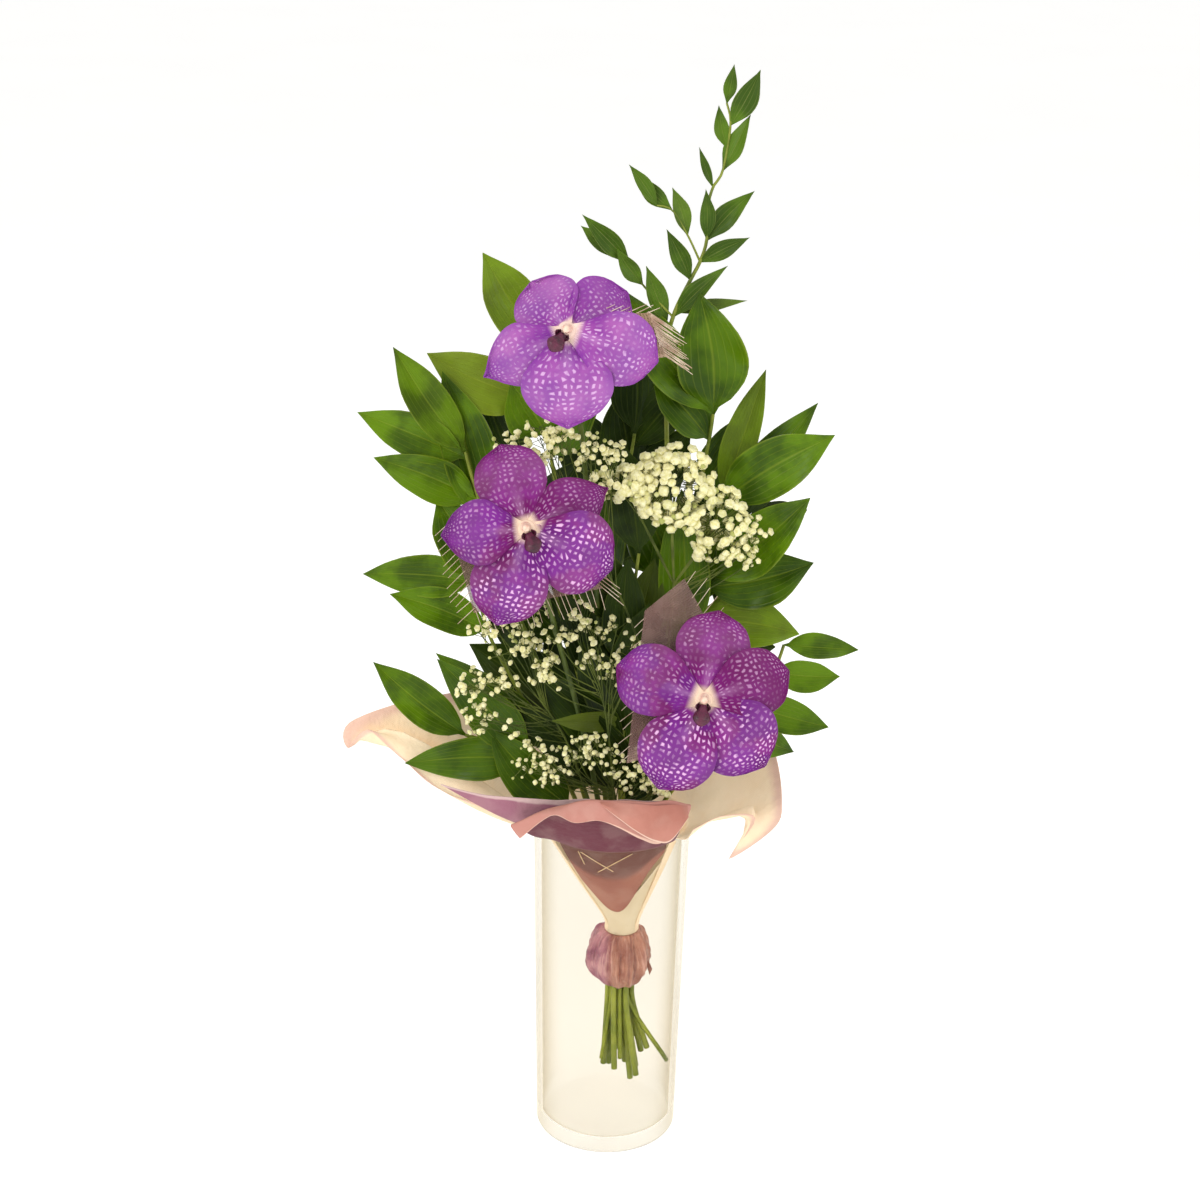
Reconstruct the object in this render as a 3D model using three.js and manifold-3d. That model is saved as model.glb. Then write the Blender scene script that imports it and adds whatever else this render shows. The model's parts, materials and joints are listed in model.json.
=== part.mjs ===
// A hand-tied spray of three vanda blooms with ruscus, soft ruscus and baby's breath,
// wrapped in organza and hung by its wrap in the mouth of a tall glass vase.
// Millimetres, +Z up, +X to the viewer's right, the blooms face -Y.
// Origin: the middle of the vase's foot, on the surface that it stands on.

import * as THREE from 'three';
import Module from 'manifold-3d';
import { mergeVertices } from 'three/addons/utils/BufferGeometryUtils.js';

const wasm = await Module();
wasm.setup();

// ---------- driving dimensions ----------

const VASE_HEIGHT = 250;
const VASE_RADIUS_FOOT = 52;
const VASE_RADIUS_MOUTH = 56.3;
const VASE_WALL = 3.5;
const VASE_FLOOR = 10;
const VASE_FACETS = 28;
const RIM_ROUND = VASE_WALL / 2;
const RIM_MIDDLE = VASE_RADIUS_MOUTH - RIM_ROUND;

const CLOTH = 0.8;
const SEAT_GAP = 0.35;

const TIE_BOTTOM = 112;
const TIE_TOP = 160;
const BUNDLE_X = 9;
const SPLAY = 1.75;
const SPLAY_SHIFT = 5;
const TIE_X = 6;
const STEM_RADIUS = 2.3;
const STEM_PITCH = 2 * STEM_RADIUS + 0.05;
const STEM_SIDES = 4;
const THIN_STEM_RADIUS = 1.8;
const TWIG_SIDES = 3;

const LEAF_THICK = 0.8;
const LEAF_FOLD = 0.28;
const PETAL_THICK = 0.9;
const BLOOM_TILT = THREE.MathUtils.degToRad(20);

// ---------- finishes ----------

function finish(color, roughness, metalness = 0) {
  return new THREE.MeshStandardMaterial({ color, roughness, metalness });
}

const glass = finish('#f4efdc', 0.05);
const creamOrganza = finish('#efe2c8', 0.7);
const mauveOrganza = finish('#c98f94', 0.7);
const plumOrganza = finish('#6b3550', 0.7);
const crinkledRibbon = finish('#b0707c', 0.45);
const ruscusGreen = finish('#2f6a1c', 0.45);
const ruscusDark = finish('#1f4a17', 0.5);
const softGreen = finish('#2a6420', 0.45);
const breathWhite = finish('#e9ebcf', 0.8);
const vandaPurple = finish('#6a2a9c', 0.55);
const vandaViolet = finish('#8a4cae', 0.55);
const lipMaroon = finish('#3c0f38', 0.5);
const columnCream = finish('#e8cfd6', 0.5);
const stalkGreen = finish('#5a7a2c', 0.5);
const frayedFibre = finish('#b99a8c', 0.85);

// ---------- shape helpers ----------

function vec(point) {
  return new THREE.Vector3(point[0], point[1], point[2]);
}

function seededRandom(seed) {
  let state = seed;
  return () => {
    state = (state + 0x6d2b79f5) | 0;
    let mixed = Math.imul(state ^ (state >>> 15), 1 | state);
    mixed = (mixed + Math.imul(mixed ^ (mixed >>> 7), 61 | mixed)) ^ mixed;
    return ((mixed ^ (mixed >>> 14)) >>> 0) / 4294967296;
  };
}

function closedGeometry(points, faces) {
  const geometry = new THREE.BufferGeometry();
  const positions = points.flatMap((point) => [point.x, point.y, point.z]);
  geometry.setAttribute('position', new THREE.Float32BufferAttribute(positions, 3));
  geometry.setIndex(faces.flat());
  return geometry;
}

// A round-sided rod along a smooth curve, tapered from its first to its last point.
function rod(path, startRadius, endRadius, sides, steps) {
  const curve = new THREE.CatmullRomCurve3(path.map(vec), false, 'centripetal');
  const frames = curve.computeFrenetFrames(steps, false);
  const points = [];
  const faces = [];
  for (let step = 0; step <= steps; step += 1) {
    const middle = curve.getPoint(step / steps);
    const radius = THREE.MathUtils.lerp(startRadius, endRadius, step / steps);
    for (let side = 0; side < sides; side += 1) {
      const angle = (2 * Math.PI * side) / sides;
      const point = middle.clone();
      point.addScaledVector(frames.normals[step], radius * Math.cos(angle));
      point.addScaledVector(frames.binormals[step], radius * Math.sin(angle));
      points.push(point);
    }
  }
  for (let step = 0; step < steps; step += 1) {
    for (let side = 0; side < sides; side += 1) {
      const next = (side + 1) % sides;
      const [a, b] = [step * sides + side, step * sides + next];
      faces.push([a, b, b + sides], [a, b + sides, a + sides]);
    }
  }
  const last = steps * sides;
  for (let side = 1; side < sides - 1; side += 1) {
    faces.push([0, side + 1, side], [last, last + side, last + side + 1]);
  }
  return closedGeometry(points, faces);
}

// A solid turned about a straight axis: [distance along, radius] rings with flat ends.
function turnedAlong(root, along, rings, sides) {
  const first = new THREE.Vector3(0, 0, 1).cross(along);
  if (first.length() < 0.1) {
    first.set(1, 0, 0);
  }
  first.normalize();
  const second = along.clone().cross(first);
  const points = [];
  const faces = [];
  rings.forEach(([distance, radius], ring) => {
    for (let side = 0; side < sides; side += 1) {
      const angle = (2 * Math.PI * side) / sides;
      const point = root.clone().addScaledVector(along, distance);
      point.addScaledVector(first, radius * Math.cos(angle));
      points.push(point.addScaledVector(second, radius * Math.sin(angle)));
      if (ring > 0) {
        const next = (side + 1) % sides;
        const [c, d] = [ring * sides + side, ring * sides + next];
        faces.push([c - sides, d - sides, d], [c - sides, d, c]);
      }
    }
  });
  const last = (rings.length - 1) * sides;
  for (let side = 1; side < sides - 1; side += 1) {
    faces.push([0, side + 1, side], [last, last + side, last + side + 1]);
  }
  return closedGeometry(points, faces);
}

// A thin sheet of even thickness around a grid of points, with closed edges.
// Both faces are split along the same diagonals, so they never cross.
function sheet(grid, thickness) {
  const rows = grid.length;
  const columns = grid[0].length;
  const points = [];
  const faces = [];
  for (const side of [0.5, -0.5]) {
    for (let row = 0; row < rows; row += 1) {
      for (let column = 0; column < columns; column += 1) {
        const along = grid[Math.min(row + 1, rows - 1)][column].clone();
        along.sub(grid[Math.max(row - 1, 0)][column]);
        const across = grid[row][Math.min(column + 1, columns - 1)].clone();
        across.sub(grid[row][Math.max(column - 1, 0)]);
        const normal = across.cross(along).normalize();
        points.push(grid[row][column].clone().addScaledVector(normal, side * thickness));
      }
    }
  }
  const under = rows * columns;
  const at = (row, column) => row * columns + column;
  const quad = (a, b, c, d) => faces.push([a, b, c], [a, c, d]);
  for (let row = 0; row < rows - 1; row += 1) {
    for (let column = 0; column < columns - 1; column += 1) {
      const corners = [at(row, column), at(row, column + 1), at(row + 1, column + 1), at(row + 1, column)];
      quad(...corners);
      const [a, b, c, d] = corners.map((corner) => corner + under);
      faces.push([a, c, b], [a, d, c]);
    }
  }
  const wall = (a, b) => quad(a, a + under, b + under, b);
  for (let column = 0; column < columns - 1; column += 1) {
    wall(at(0, column), at(0, column + 1));
    wall(at(rows - 1, column + 1), at(rows - 1, column));
  }
  for (let row = 0; row < rows - 1; row += 1) {
    wall(at(row + 1, 0), at(row, 0));
    wall(at(row, columns - 1), at(row + 1, columns - 1));
  }
  return closedGeometry(points, faces);
}

function solid(geometry) {
  const vertProperties = new Float32Array(geometry.attributes.position.array);
  const triVerts = new Uint32Array(geometry.index.array);
  return new wasm.Manifold(new wasm.Mesh({ numProp: 3, vertProperties, triVerts }));
}

function geometryOf(body) {
  const mesh = body.getMesh();
  const geometry = new THREE.BufferGeometry();
  geometry.setAttribute('position', new THREE.Float32BufferAttribute(mesh.vertProperties, 3));
  geometry.setIndex(new THREE.Uint32BufferAttribute(mesh.triVerts, 1));
  return geometry;
}

// Joins pieces that grow from one another into one closed body.
function grown(geometries) {
  return geometries.map(solid).reduce((whole, piece) => whole.add(piece));
}

const bouquet = new THREE.Group();

function place(name, geometry, material) {
  const mesh = new THREE.Mesh(geometry, material);
  mesh.name = name;
  bouquet.add(mesh);
}

// ---------- glass vase ----------

function vaseGeometry() {
  const profile = [[0, 0], [VASE_RADIUS_FOOT - 5, 0], [VASE_RADIUS_FOOT, 5]];
  const rimSteps = 4;
  for (let step = 0; step <= rimSteps; step += 1) {
    const angle = (Math.PI * step) / rimSteps;
    const height = VASE_HEIGHT - RIM_ROUND + RIM_ROUND * Math.sin(angle);
    profile.push([RIM_MIDDLE + RIM_ROUND * Math.cos(angle), height]);
  }
  profile.push([VASE_RADIUS_FOOT - VASE_WALL, VASE_FLOOR + 6]);
  profile.push([VASE_RADIUS_FOOT - VASE_WALL - 8, VASE_FLOOR]);
  profile.push([0, VASE_FLOOR]);
  const outline = profile.map(([radius, height]) => new THREE.Vector2(radius, height));
  const geometry = new THREE.LatheGeometry(outline, VASE_FACETS);
  geometry.rotateX(Math.PI / 2);
  return geometry;
}

place('glass_vase', vaseGeometry(), glass);

// ---------- the tied bundle ----------

// Nineteen stems stand in a hexagon: one in the middle, six round it and twelve outside.
function bundleSlot(ring, degrees) {
  const corner = degrees % 60 === 0;
  const outward = ring * STEM_PITCH * (ring === 2 && !corner ? Math.cos(Math.PI / 6) : 1);
  const angle = THREE.MathUtils.degToRad(degrees);
  return [outward * Math.cos(angle), outward * Math.sin(angle)];
}

// The foot of a stem: its cut end, splayed a little, and its straight run through the tie.
function stemFoot([ring, degrees], cutHeight) {
  const [x, y] = bundleSlot(ring, degrees);
  const straight = [100, 172];
  const foot = [[BUNDLE_X + SPLAY_SHIFT + SPLAY * x, SPLAY * y, cutHeight]];
  return foot.concat(straight.map((height) => [BUNDLE_X + x, y, height]));
}

// The ribbon is wound round the bundle and pinched into upright creases. Its hole is round
// the stems, and its outside bulges to the left of them: [radius, height, crease, leaves hole].
function tieGeometry() {
  const turns = 16;
  const hole = 2 * STEM_PITCH + STEM_RADIUS + SEAT_GAP;
  const rings = [
    [hole, TIE_TOP, 0, BUNDLE_X], [17, TIE_TOP - 1, 0.6, 7], [20.5, 138, 1.6, TIE_X],
    [22, 124, 2, TIE_X], [15.5, TIE_BOTTOM, 0.5, 8], [hole, TIE_BOTTOM + 1, 0, BUNDLE_X],
  ];
  const points = [];
  const faces = [];
  rings.forEach(([radius, height, crease, middle]) => {
    for (let turn = 0; turn < turns; turn += 1) {
      const angle = (2 * Math.PI * turn) / turns;
      const reach = radius + crease * (turn % 2 === 0 ? 1 : -1);
      points.push(new THREE.Vector3(middle + reach * Math.cos(angle), reach * Math.sin(angle), height));
    }
  });
  for (let ring = 0; ring < rings.length; ring += 1) {
    const nextRing = (ring + 1) % rings.length;
    for (let turn = 0; turn < turns; turn += 1) {
      const nextTurn = (turn + 1) % turns;
      const [a, b] = [ring * turns + turn, ring * turns + nextTurn];
      const [c, d] = [nextRing * turns + nextTurn, nextRing * turns + turn];
      faces.push([a, c, b], [a, d, c]);
    }
  }
  return closedGeometry(points, faces);
}

place('ribbon_tie', tieGeometry(), crinkledRibbon);

// ---------- ruscus ----------

const LEAF_OUTLINE = [[0, 0.05], [0.13, 0.56], [0.38, 1], [0.7, 0.84], [1, 0.04]];
const BLADE_COLUMNS = [-1, 0, 1];
const BACK_OUTLINE = [[0, 0.05], [0.2, 0.72], [0.5, 1], [0.78, 0.66], [1, 0.04]];
const FLAT_COLUMNS = [-1, 1];

// One blade from its root to its tip. Roll turns it about its own length and bow lifts its
// middle. Its midrib is sunk below its two edges.
function blade(root, tip, width, roll, bow, outline = LEAF_OUTLINE, columns = BLADE_COLUMNS) {
  const base = vec(root);
  const reach = vec(tip).sub(base);
  const along = reach.clone().normalize();
  const facing = new THREE.Vector3(0, -Math.cos(BLOOM_TILT), Math.sin(BLOOM_TILT));
  facing.addScaledVector(along, -facing.dot(along)).normalize();
  facing.applyAxisAngle(along, THREE.MathUtils.degToRad(roll));
  const across = facing.clone().cross(along);
  const grid = outline.map(([t, share]) => {
    const middle = base.clone().addScaledVector(reach, t);
    middle.addScaledVector(facing, bow * 4 * t * (1 - t));
    const half = Math.max(0.7, (share * width) / 2);
    return columns.map((side) => {
      const point = middle.clone().addScaledVector(across, side * half);
      return point.addScaledVector(facing, LEAF_FOLD * half * (Math.abs(side) - 0.5));
    });
  });
  return sheet(grid, LEAF_THICK);
}

// A leafy stem: its path above the tie, and its leaves as
// [place on the path, tip x, y, z, width, roll in degrees, bow]. The stems behind have flatter leaves.
const ruscusStems = [
  {
    name: 'ruscus_left_low', slot: [2, 180], cut: 46, color: ruscusGreen,
    path: [[-12, -5, 218], [-30, -10, 262], [-60, -12, 300], [-85, -13, 312], [-105, -14, 318]],
    leaves: [
      [2, -147, -22, 299, 32, 10, 4], [4, -169, -15, 372, 29, -10, 5], [2, -124, -19, 377, 34, 12, 4],
    ],
  },
  {
    name: 'ruscus_left_middle', slot: [1, 180], cut: 58, color: ruscusGreen,
    path: [[-10, 2, 215], [-26, 3, 260], [-44, 2, 300], [-68, 3, 345], [-90, 0, 391], [-98, 0, 430]],
    leaves: [
      [2, -127, 10, 370, 32, 15, 4], [4, -157, -13, 422, 29, -12, 4], [4.9, -176, -6, 434, 30, 10, 5],
      [5, -126, 4, 486, 40, -15, 6], [1.2, -18, -3, 338, 38, 12, 4],
    ],
  },
  {
    name: 'ruscus_left_high', slot: [2, 150], cut: 42, color: ruscusGreen,
    path: [[-10, 10, 225], [-30, 14, 290], [-58, 16, 370], [-82, 13, 430], [-97, 5, 485], [-106, 2, 521]],
    leaves: [
      [5, -154, 0, 593, 30, -10, 5], [4.8, -178, -5, 549, 31, 12, 5], [4, -167, -10, 519, 31, 10, 6],
      [3.7, -122, 12, 574, 38, -12, 5], [3, -58, 8, 506, 40, 10, 4], [0.7, -36, 28, 350, 44, -10, 4],
    ],
  },
  {
    name: 'ruscus_top_left', slot: [1, 120], cut: 55, color: ruscusGreen,
    path: [[-3, 18, 240], [-14, 26, 320], [-32, 30, 420], [-48, 29, 510], [-57, 26, 552], [-53, 20, 590]],
    leaves: [
      [5, -95, 15, 655, 38, -8, 6], [4, -133, 22, 584, 38, 12, 5], [4.6, -22, 22, 636, 30, -12, 4],
      [3, -12, 20, 572, 38, 15, 4], [1.8, 0, 24, 498, 38, 8, 4],
    ],
  },
  {
    name: 'ruscus_top', slot: [0, 0], cut: 48, color: ruscusGreen,
    path: [[9, 13, 230], [20, 20, 310], [40, 20, 420], [54, 14, 490], [60, 6, 532], [62, 3, 551]],
    leaves: [
      [5, 50, 5, 633, 48, 8, 6], [4, 20, 10, 573, 32, -14, 4], [3, 88, 22, 548, 28, 10, 4],
      [2, 6, 26, 496, 44, 10, 4], [1.8, 84, 30, 478, 36, -10, 4], [1, -12, 30, 398, 48, 12, 4],
    ],
  },
  {
    name: 'ruscus_right_high', slot: [1, 60], cut: 52, color: ruscusGreen,
    path: [[18, 6, 230], [29, 7, 300], [47, 8, 380], [60, 8, 440], [70, 6, 491]],
    leaves: [
      [4, 97, 12, 580, 25, 20, 4], [3.9, 144, -5, 540, 40, -8, 6], [3.6, 134, 18, 556, 28, 14, 5],
      [2, 24, 4, 456, 36, -12, 4], [0.8, 12, 0, 372, 44, 10, 4],
    ],
  },
  {
    name: 'ruscus_right_middle', slot: [1, 0], cut: 44, color: ruscusGreen,
    path: [[21, -3, 235], [31, -6, 300], [42, -7, 360], [52, -6, 404], [62, -4, 436]],
    leaves: [
      [4, 129, -14, 498, 40, 10, 6], [3.7, 135, 0, 447, 38, -10, 5], [3, 127, -8, 397, 38, 12, 5],
      [2.6, 42, -6, 500, 36, 10, 4],
    ],
  },
  {
    name: 'ruscus_right_low', slot: [2, 0], cut: 60, color: ruscusGreen,
    path: [[27, -3, 238], [42, -9, 276], [68, -13, 310], [92, -12, 345], [110, -8, 368], [117, -6, 388]],
    leaves: [
      [5, 170, 0, 383, 20, 25, 4], [4, 157, -8, 366, 23, -10, 4], [3, 151, -10, 328, 26, 10, 4],
      [2.6, 128, -4, 306, 24, -20, 3], [2, 44, -17, 372, 26, -10, 4],
    ],
  },
  {
    name: 'ruscus_middle', slot: [1, 300], cut: 38, color: ruscusDark,
    path: [[9, -6, 240], [6, -9, 320], [9, -11, 400], [14, -11, 455]],
    leaves: [
      [3, 0, -8, 532, 36, 0, 4], [2, -40, -9, 470, 36, -10, 4], [1, -41, -15, 348, 12, 0, 1],
      [1.2, 34, -16, 404, 28, 12, 3], [1.7, 25, -6, 450, 30, -8, 3],
    ],
  },
  {
    name: 'ruscus_back_left', slot: [2, 120], cut: 50, color: ruscusDark, behind: true,
    path: [[-2, 26, 240], [-18, 40, 310], [-38, 50, 380], [-56, 55, 440], [-68, 54, 486]],
    leaves: [
      [4, -96, 50, 552, 36, 160, 4], [3.6, -124, 50, 500, 32, 200, 4], [3, -108, 58, 446, 34, 170, 4],
      [2.8, -28, 62, 500, 44, 190, 4], [2, -98, 60, 392, 46, 165, 4], [1, -106, 50, 362, 48, 195, 4],
      [0.5, -52, 62, 366, 46, 175, 4],
    ],
  },
  {
    name: 'ruscus_back_middle', slot: [2, 90], cut: 56, color: ruscusDark, behind: true,
    path: [[6, 28, 245], [4, 46, 320], [0, 58, 400], [4, 62, 470], [10, 60, 520]],
    leaves: [
      [4, 6, 54, 592, 38, 180, 4], [3.7, 52, 56, 562, 34, 165, 4], [3, -40, 74, 538, 44, 165, 4],
      [2.3, 44, 78, 460, 46, 170, 4], [1.6, -44, 74, 410, 48, 190, 4], [0.9, 40, 68, 376, 48, 190, 4],
      [2.6, 50, 66, 524, 46, 165, 4], [3.2, -4, 70, 544, 40, 190, 4], [0.3, -14, 74, 316, 44, 180, 4],
    ],
  },
  {
    name: 'ruscus_back_right', slot: [2, 30], cut: 53, color: ruscusDark, behind: true,
    path: [[23, 13, 240], [38, 30, 305], [60, 44, 365], [78, 48, 420], [90, 46, 464]],
    leaves: [
      [4, 112, 36, 526, 34, 165, 4], [3.6, 132, 36, 474, 32, 195, 4], [3, 126, 48, 420, 34, 170, 4],
      [2.6, 62, 60, 500, 44, 190, 4], [2, 116, 52, 364, 40, 165, 4], [1, 90, 46, 330, 40, 190, 4],
    ],
  },
];

// A place on a path by its point's number, with a fraction for the way to the next point.
function alongPath(path, position) {
  const point = Math.floor(position);
  const next = Math.min(point + 1, path.length - 1);
  return vec(path[point]).lerp(vec(path[next]), position - point).toArray();
}

function leafyStem({ slot, cut, path, leaves, behind }) {
  const route = stemFoot(slot, cut).concat(path);
  const stem = rod(route, STEM_RADIUS, 1.2, STEM_SIDES, route.length - 1);
  const form = behind ? [BACK_OUTLINE, FLAT_COLUMNS] : [LEAF_OUTLINE, BLADE_COLUMNS];
  const blades = leaves.map(([position, x, y, z, width, roll, bow]) => (
    blade(alongPath(path, position), [x, y, z], width, roll, bow, ...form)
  ));
  return geometryOf(grown([stem, ...blades]));
}

for (const stem of ruscusStems) {
  place(stem.name, leafyStem(stem), stem.color);
}

// ---------- soft ruscus ----------

const SMALL_OUTLINE = [[0, 0.08], [0.42, 1], [1, 0.06]];

const softStem = {
  slot: [2, 60],
  cut: 62,
  path: [
    [16, 20, 240], [26, 30, 320], [34, 32, 420], [32, 28, 520], [29, 16, 585], [33, 12, 615],
    [44, 14, 640], [50, 16, 652], [54, 18, 666], [54, 20, 687], [57, 20, 701], [63, 20, 712],
    [67, 20, 742], [64, 20, 756],
  ],
};
const softTwigs = [
  [[50, 16, 652], [41, 15, 670], [30, 12, 687], [20, 10, 690]],
  [[33, 12, 615], [12, 10, 637], [3, 10, 651], [-9, 12, 655]],
];
// [root x, y, z, tip x, y, z, width, roll]
const softLeaves = [
  [64, 20, 756, 68, 20, 781, 9, 10], [67, 20, 742, 85, 18, 778, 16, -15],
  [65, 20, 727, 59, 24, 754, 10, 10],
  [63, 20, 712, 80, 20, 749, 14, 20], [57, 20, 701, 47, 22, 727, 6, 0], [54, 18, 667, 52, 12, 701, 11, -10],
  [54, 18, 666, 85, 26, 698, 15, 10], [50, 16, 652, 82, 10, 670, 13, -15],
  [44, 14, 640, 27, 12, 674, 13, 12],
  [41, 15, 670, 30, 16, 701, 12, -12], [30, 12, 687, 4, 18, 710, 12, 15], [20, 10, 690, 1, 6, 717, 10, -10],
  [3, 10, 651, -29, 4, 684, 14, 10], [-9, 12, 655, -30, 18, 674, 11, -15], [12, 10, 637, -6, 5, 662, 12, 8],
  [29, 14, 612, 14, 8, 650, 15, -10], [33, 12, 615, 68, 4, 652, 13, 15], [33, 12, 618, 83, 22, 625, 9, 0],
];

function softRuscus() {
  const route = stemFoot(softStem.slot, softStem.cut).concat(softStem.path);
  const pieces = [rod(route, STEM_RADIUS, 0.8, TWIG_SIDES, route.length - 1)];
  for (const twig of softTwigs) {
    pieces.push(rod(twig, 0.8, 0.6, TWIG_SIDES, twig.length - 1));
  }
  for (const [rx, ry, rz, x, y, z, width, roll] of softLeaves) {
    pieces.push(blade([rx, ry, rz], [x, y, z], width, roll, 1, SMALL_OUTLINE, FLAT_COLUMNS));
  }
  return geometryOf(grown(pieces));
}

place('soft_ruscus_sprig', softRuscus(), softGreen);

// ---------- vanda blooms ----------

const TEPAL_OUTLINE = [[0.03, 0.2], [0.2, 0.4], [0.42, 0.84], [0.66, 1], [0.86, 0.78], [1, 0.24]];
const TEPAL_COLUMNS = [-1, 0, 1];
const HUB_RADIUS = 6;
const HUB_HALF = 2;

// Each bloom: its centre, its tepals as [degrees, length, width, layer, tilt in degrees],
// where its lip points, and the path of its stalk from its neck down to the tie.
const blooms = [
  {
    name: 'bloom_top', center: [-37, -60, 621], slot: [1, 240], cut: 64, color: vandaViolet, lip: 236,
    tepals: [
      [126, 43, 46, 1, -22], [36, 51, 46, 0, -20], [-18, 62, 48, 1, 2], [-88, 63, 60, 0, 3],
      [210, 58, 44, 0, -3],
    ],
    stalk: [
      [-37, -45, 610], [-34, -32, 588], [-27, -24, 545], [-19, -20, 470], [-10, -17, 380],
      [-3, -14, 300], [1, -9, 230],
    ],
  },
  {
    name: 'bloom_middle', center: [-61, -75, 492], slot: [2, 240], cut: 50, color: vandaPurple, lip: 294,
    tepals: [
      [109, 58, 48, 0, -3], [28, 57, 36, 1, -8], [-24, 62, 56, 0, 3], [254, 66, 52, 0, 2],
      [182, 54, 42, 1, 4],
    ],
    stalk: [
      [-60, -60, 482], [-54, -46, 458], [-40, -36, 400], [-22, -28, 330], [-8, -20, 260], [0, -14, 212],
    ],
  },
  {
    name: 'bloom_low', center: [58, -95, 382], slot: [2, 300], cut: 45, color: vandaPurple, lip: 262,
    tepals: [
      [81, 60, 50, 0, -3], [20, 60, 46, 1, -2], [-46, 60, 56, 0, 2], [-116, 66, 54, 0, 4],
      [160, 62, 48, 1, 2],
    ],
    stalk: [[57, -80, 372], [48, -62, 350], [36, -42, 318], [26, -28, 280], [18, -18, 232]],
  },
];

const bloomRight = new THREE.Vector3(1, 0, 0);
const bloomUp = new THREE.Vector3(0, Math.sin(BLOOM_TILT), Math.cos(BLOOM_TILT));
const bloomFront = new THREE.Vector3(0, -Math.cos(BLOOM_TILT), Math.sin(BLOOM_TILT));

function bloomPoint(center, right, up, front) {
  const point = vec(center);
  point.addScaledVector(bloomRight, right);
  point.addScaledVector(bloomUp, up);
  return point.addScaledVector(bloomFront, front);
}

function tepal(center, [degrees, length, width, layer, tilt]) {
  const angle = THREE.MathUtils.degToRad(degrees);
  const [cosine, sine] = [Math.cos(angle), Math.sin(angle)];
  const rise = Math.tan(THREE.MathUtils.degToRad(tilt));
  const grid = TEPAL_OUTLINE.map(([t, share]) => TEPAL_COLUMNS.map((side) => {
    const half = (share * width) / 2;
    const out = t * length - 0.05 * length * side * side * t;
    const sideways = side * half;
    const cup = 2.4 * side * side * share - 1.6 * Math.sin(Math.PI * t);
    const wave = 1.1 * Math.sin(5 * t + 2 * side);
    const lift = (layer - 0.5) * 1.2 + rise * out + (cup + wave) * Math.min(1, t * 3);
    return bloomPoint(center, out * cosine + sideways * sine, out * sine - sideways * cosine, lift);
  }));
  return sheet(grid.map((row) => row.reverse()), PETAL_THICK);
}

function disc(center, radius, half, sides = 10) {
  const path = [bloomPoint(center, 0, 0, -half), bloomPoint(center, 0, 0, half)];
  return rod(path.map((point) => point.toArray()), radius, radius, sides, 1);
}

function tepals({ center, tepals: list }) {
  const hub = disc(center, HUB_RADIUS, HUB_HALF);
  return geometryOf(grown([hub, ...list.map((one) => tepal(center, one))]));
}

// The lip hangs from the hub's face: a narrow waist that widens to a blunt tongue.
function lipGeometry({ center, lip }) {
  const angle = THREE.MathUtils.degToRad(lip);
  const [cosine, sine] = [Math.cos(angle), Math.sin(angle)];
  const rows = [[3, 3.2, 2.2], [7, 4.6, 2.8], [11, 7.4, 3.4], [15, 7.2, 3], [18, 5, 2.2], [20, 2, 1.2]];
  const start = HUB_HALF + SEAT_GAP;
  const sides = 8;
  const points = [];
  const faces = [];
  rows.forEach(([out, half, thick]) => {
    const middle = start + thick + 0.42 * (out - 3);
    for (let side = 0; side < sides; side += 1) {
      const turn = (2 * Math.PI * side) / sides;
      const sideways = half * Math.cos(turn);
      const lift = middle + thick * Math.sin(turn);
      const right = out * cosine - sideways * sine;
      points.push(bloomPoint(center, right, out * sine + sideways * cosine, lift));
    }
  });
  for (let row = 0; row < rows.length - 1; row += 1) {
    for (let side = 0; side < sides; side += 1) {
      const next = (side + 1) % sides;
      const [a, b] = [row * sides + side, row * sides + next];
      faces.push([a, b, b + sides], [a, b + sides, a + sides]);
    }
  }
  const last = (rows.length - 1) * sides;
  for (let side = 1; side < sides - 1; side += 1) {
    faces.push([0, side + 1, side], [last, last + side, last + side + 1]);
  }
  return closedGeometry(points, faces);
}

// The column stands on the hub above the lip, with a small cap at its end.
function columnGeometry({ center, lip }) {
  const angle = THREE.MathUtils.degToRad(lip + 180);
  const [cosine, sine] = [Math.cos(angle), Math.sin(angle)];
  const start = HUB_HALF + SEAT_GAP;
  const base = bloomPoint(center, 1.5 * cosine, 1.5 * sine, start + 0.3);
  const middle = bloomPoint(center, 0.8 * cosine, 0.8 * sine, start + 4);
  const tip = bloomPoint(center, -0.4 * cosine, -0.4 * sine, start + 7);
  return rod([base.toArray(), middle.toArray(), tip.toArray()], 3.4, 1.8, 8, 3);
}

function stalkGeometry({ center, slot, cut, stalk }, clearance = 0) {
  const top = bloomPoint(center, 0, 0, -HUB_HALF - SEAT_GAP).toArray();
  const neck = bloomPoint(center, 0, 0, -HUB_HALF - 5).toArray();
  const route = stemFoot(slot, cut).concat([...stalk].reverse(), [neck, top]);
  return rod(route, STEM_RADIUS + clearance, 1.6 + clearance, STEM_SIDES, route.length + 3);
}

for (const bloom of blooms) {
  place(`${bloom.name}_tepals`, tepals(bloom), bloom.color);
  place(`${bloom.name}_lip`, lipGeometry(bloom), lipMaroon);
  place(`${bloom.name}_column`, columnGeometry(bloom), columnCream);
  place(`${bloom.name}_stalk`, stalkGeometry(bloom), stalkGreen);
}

// ---------- baby's breath ----------

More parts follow.
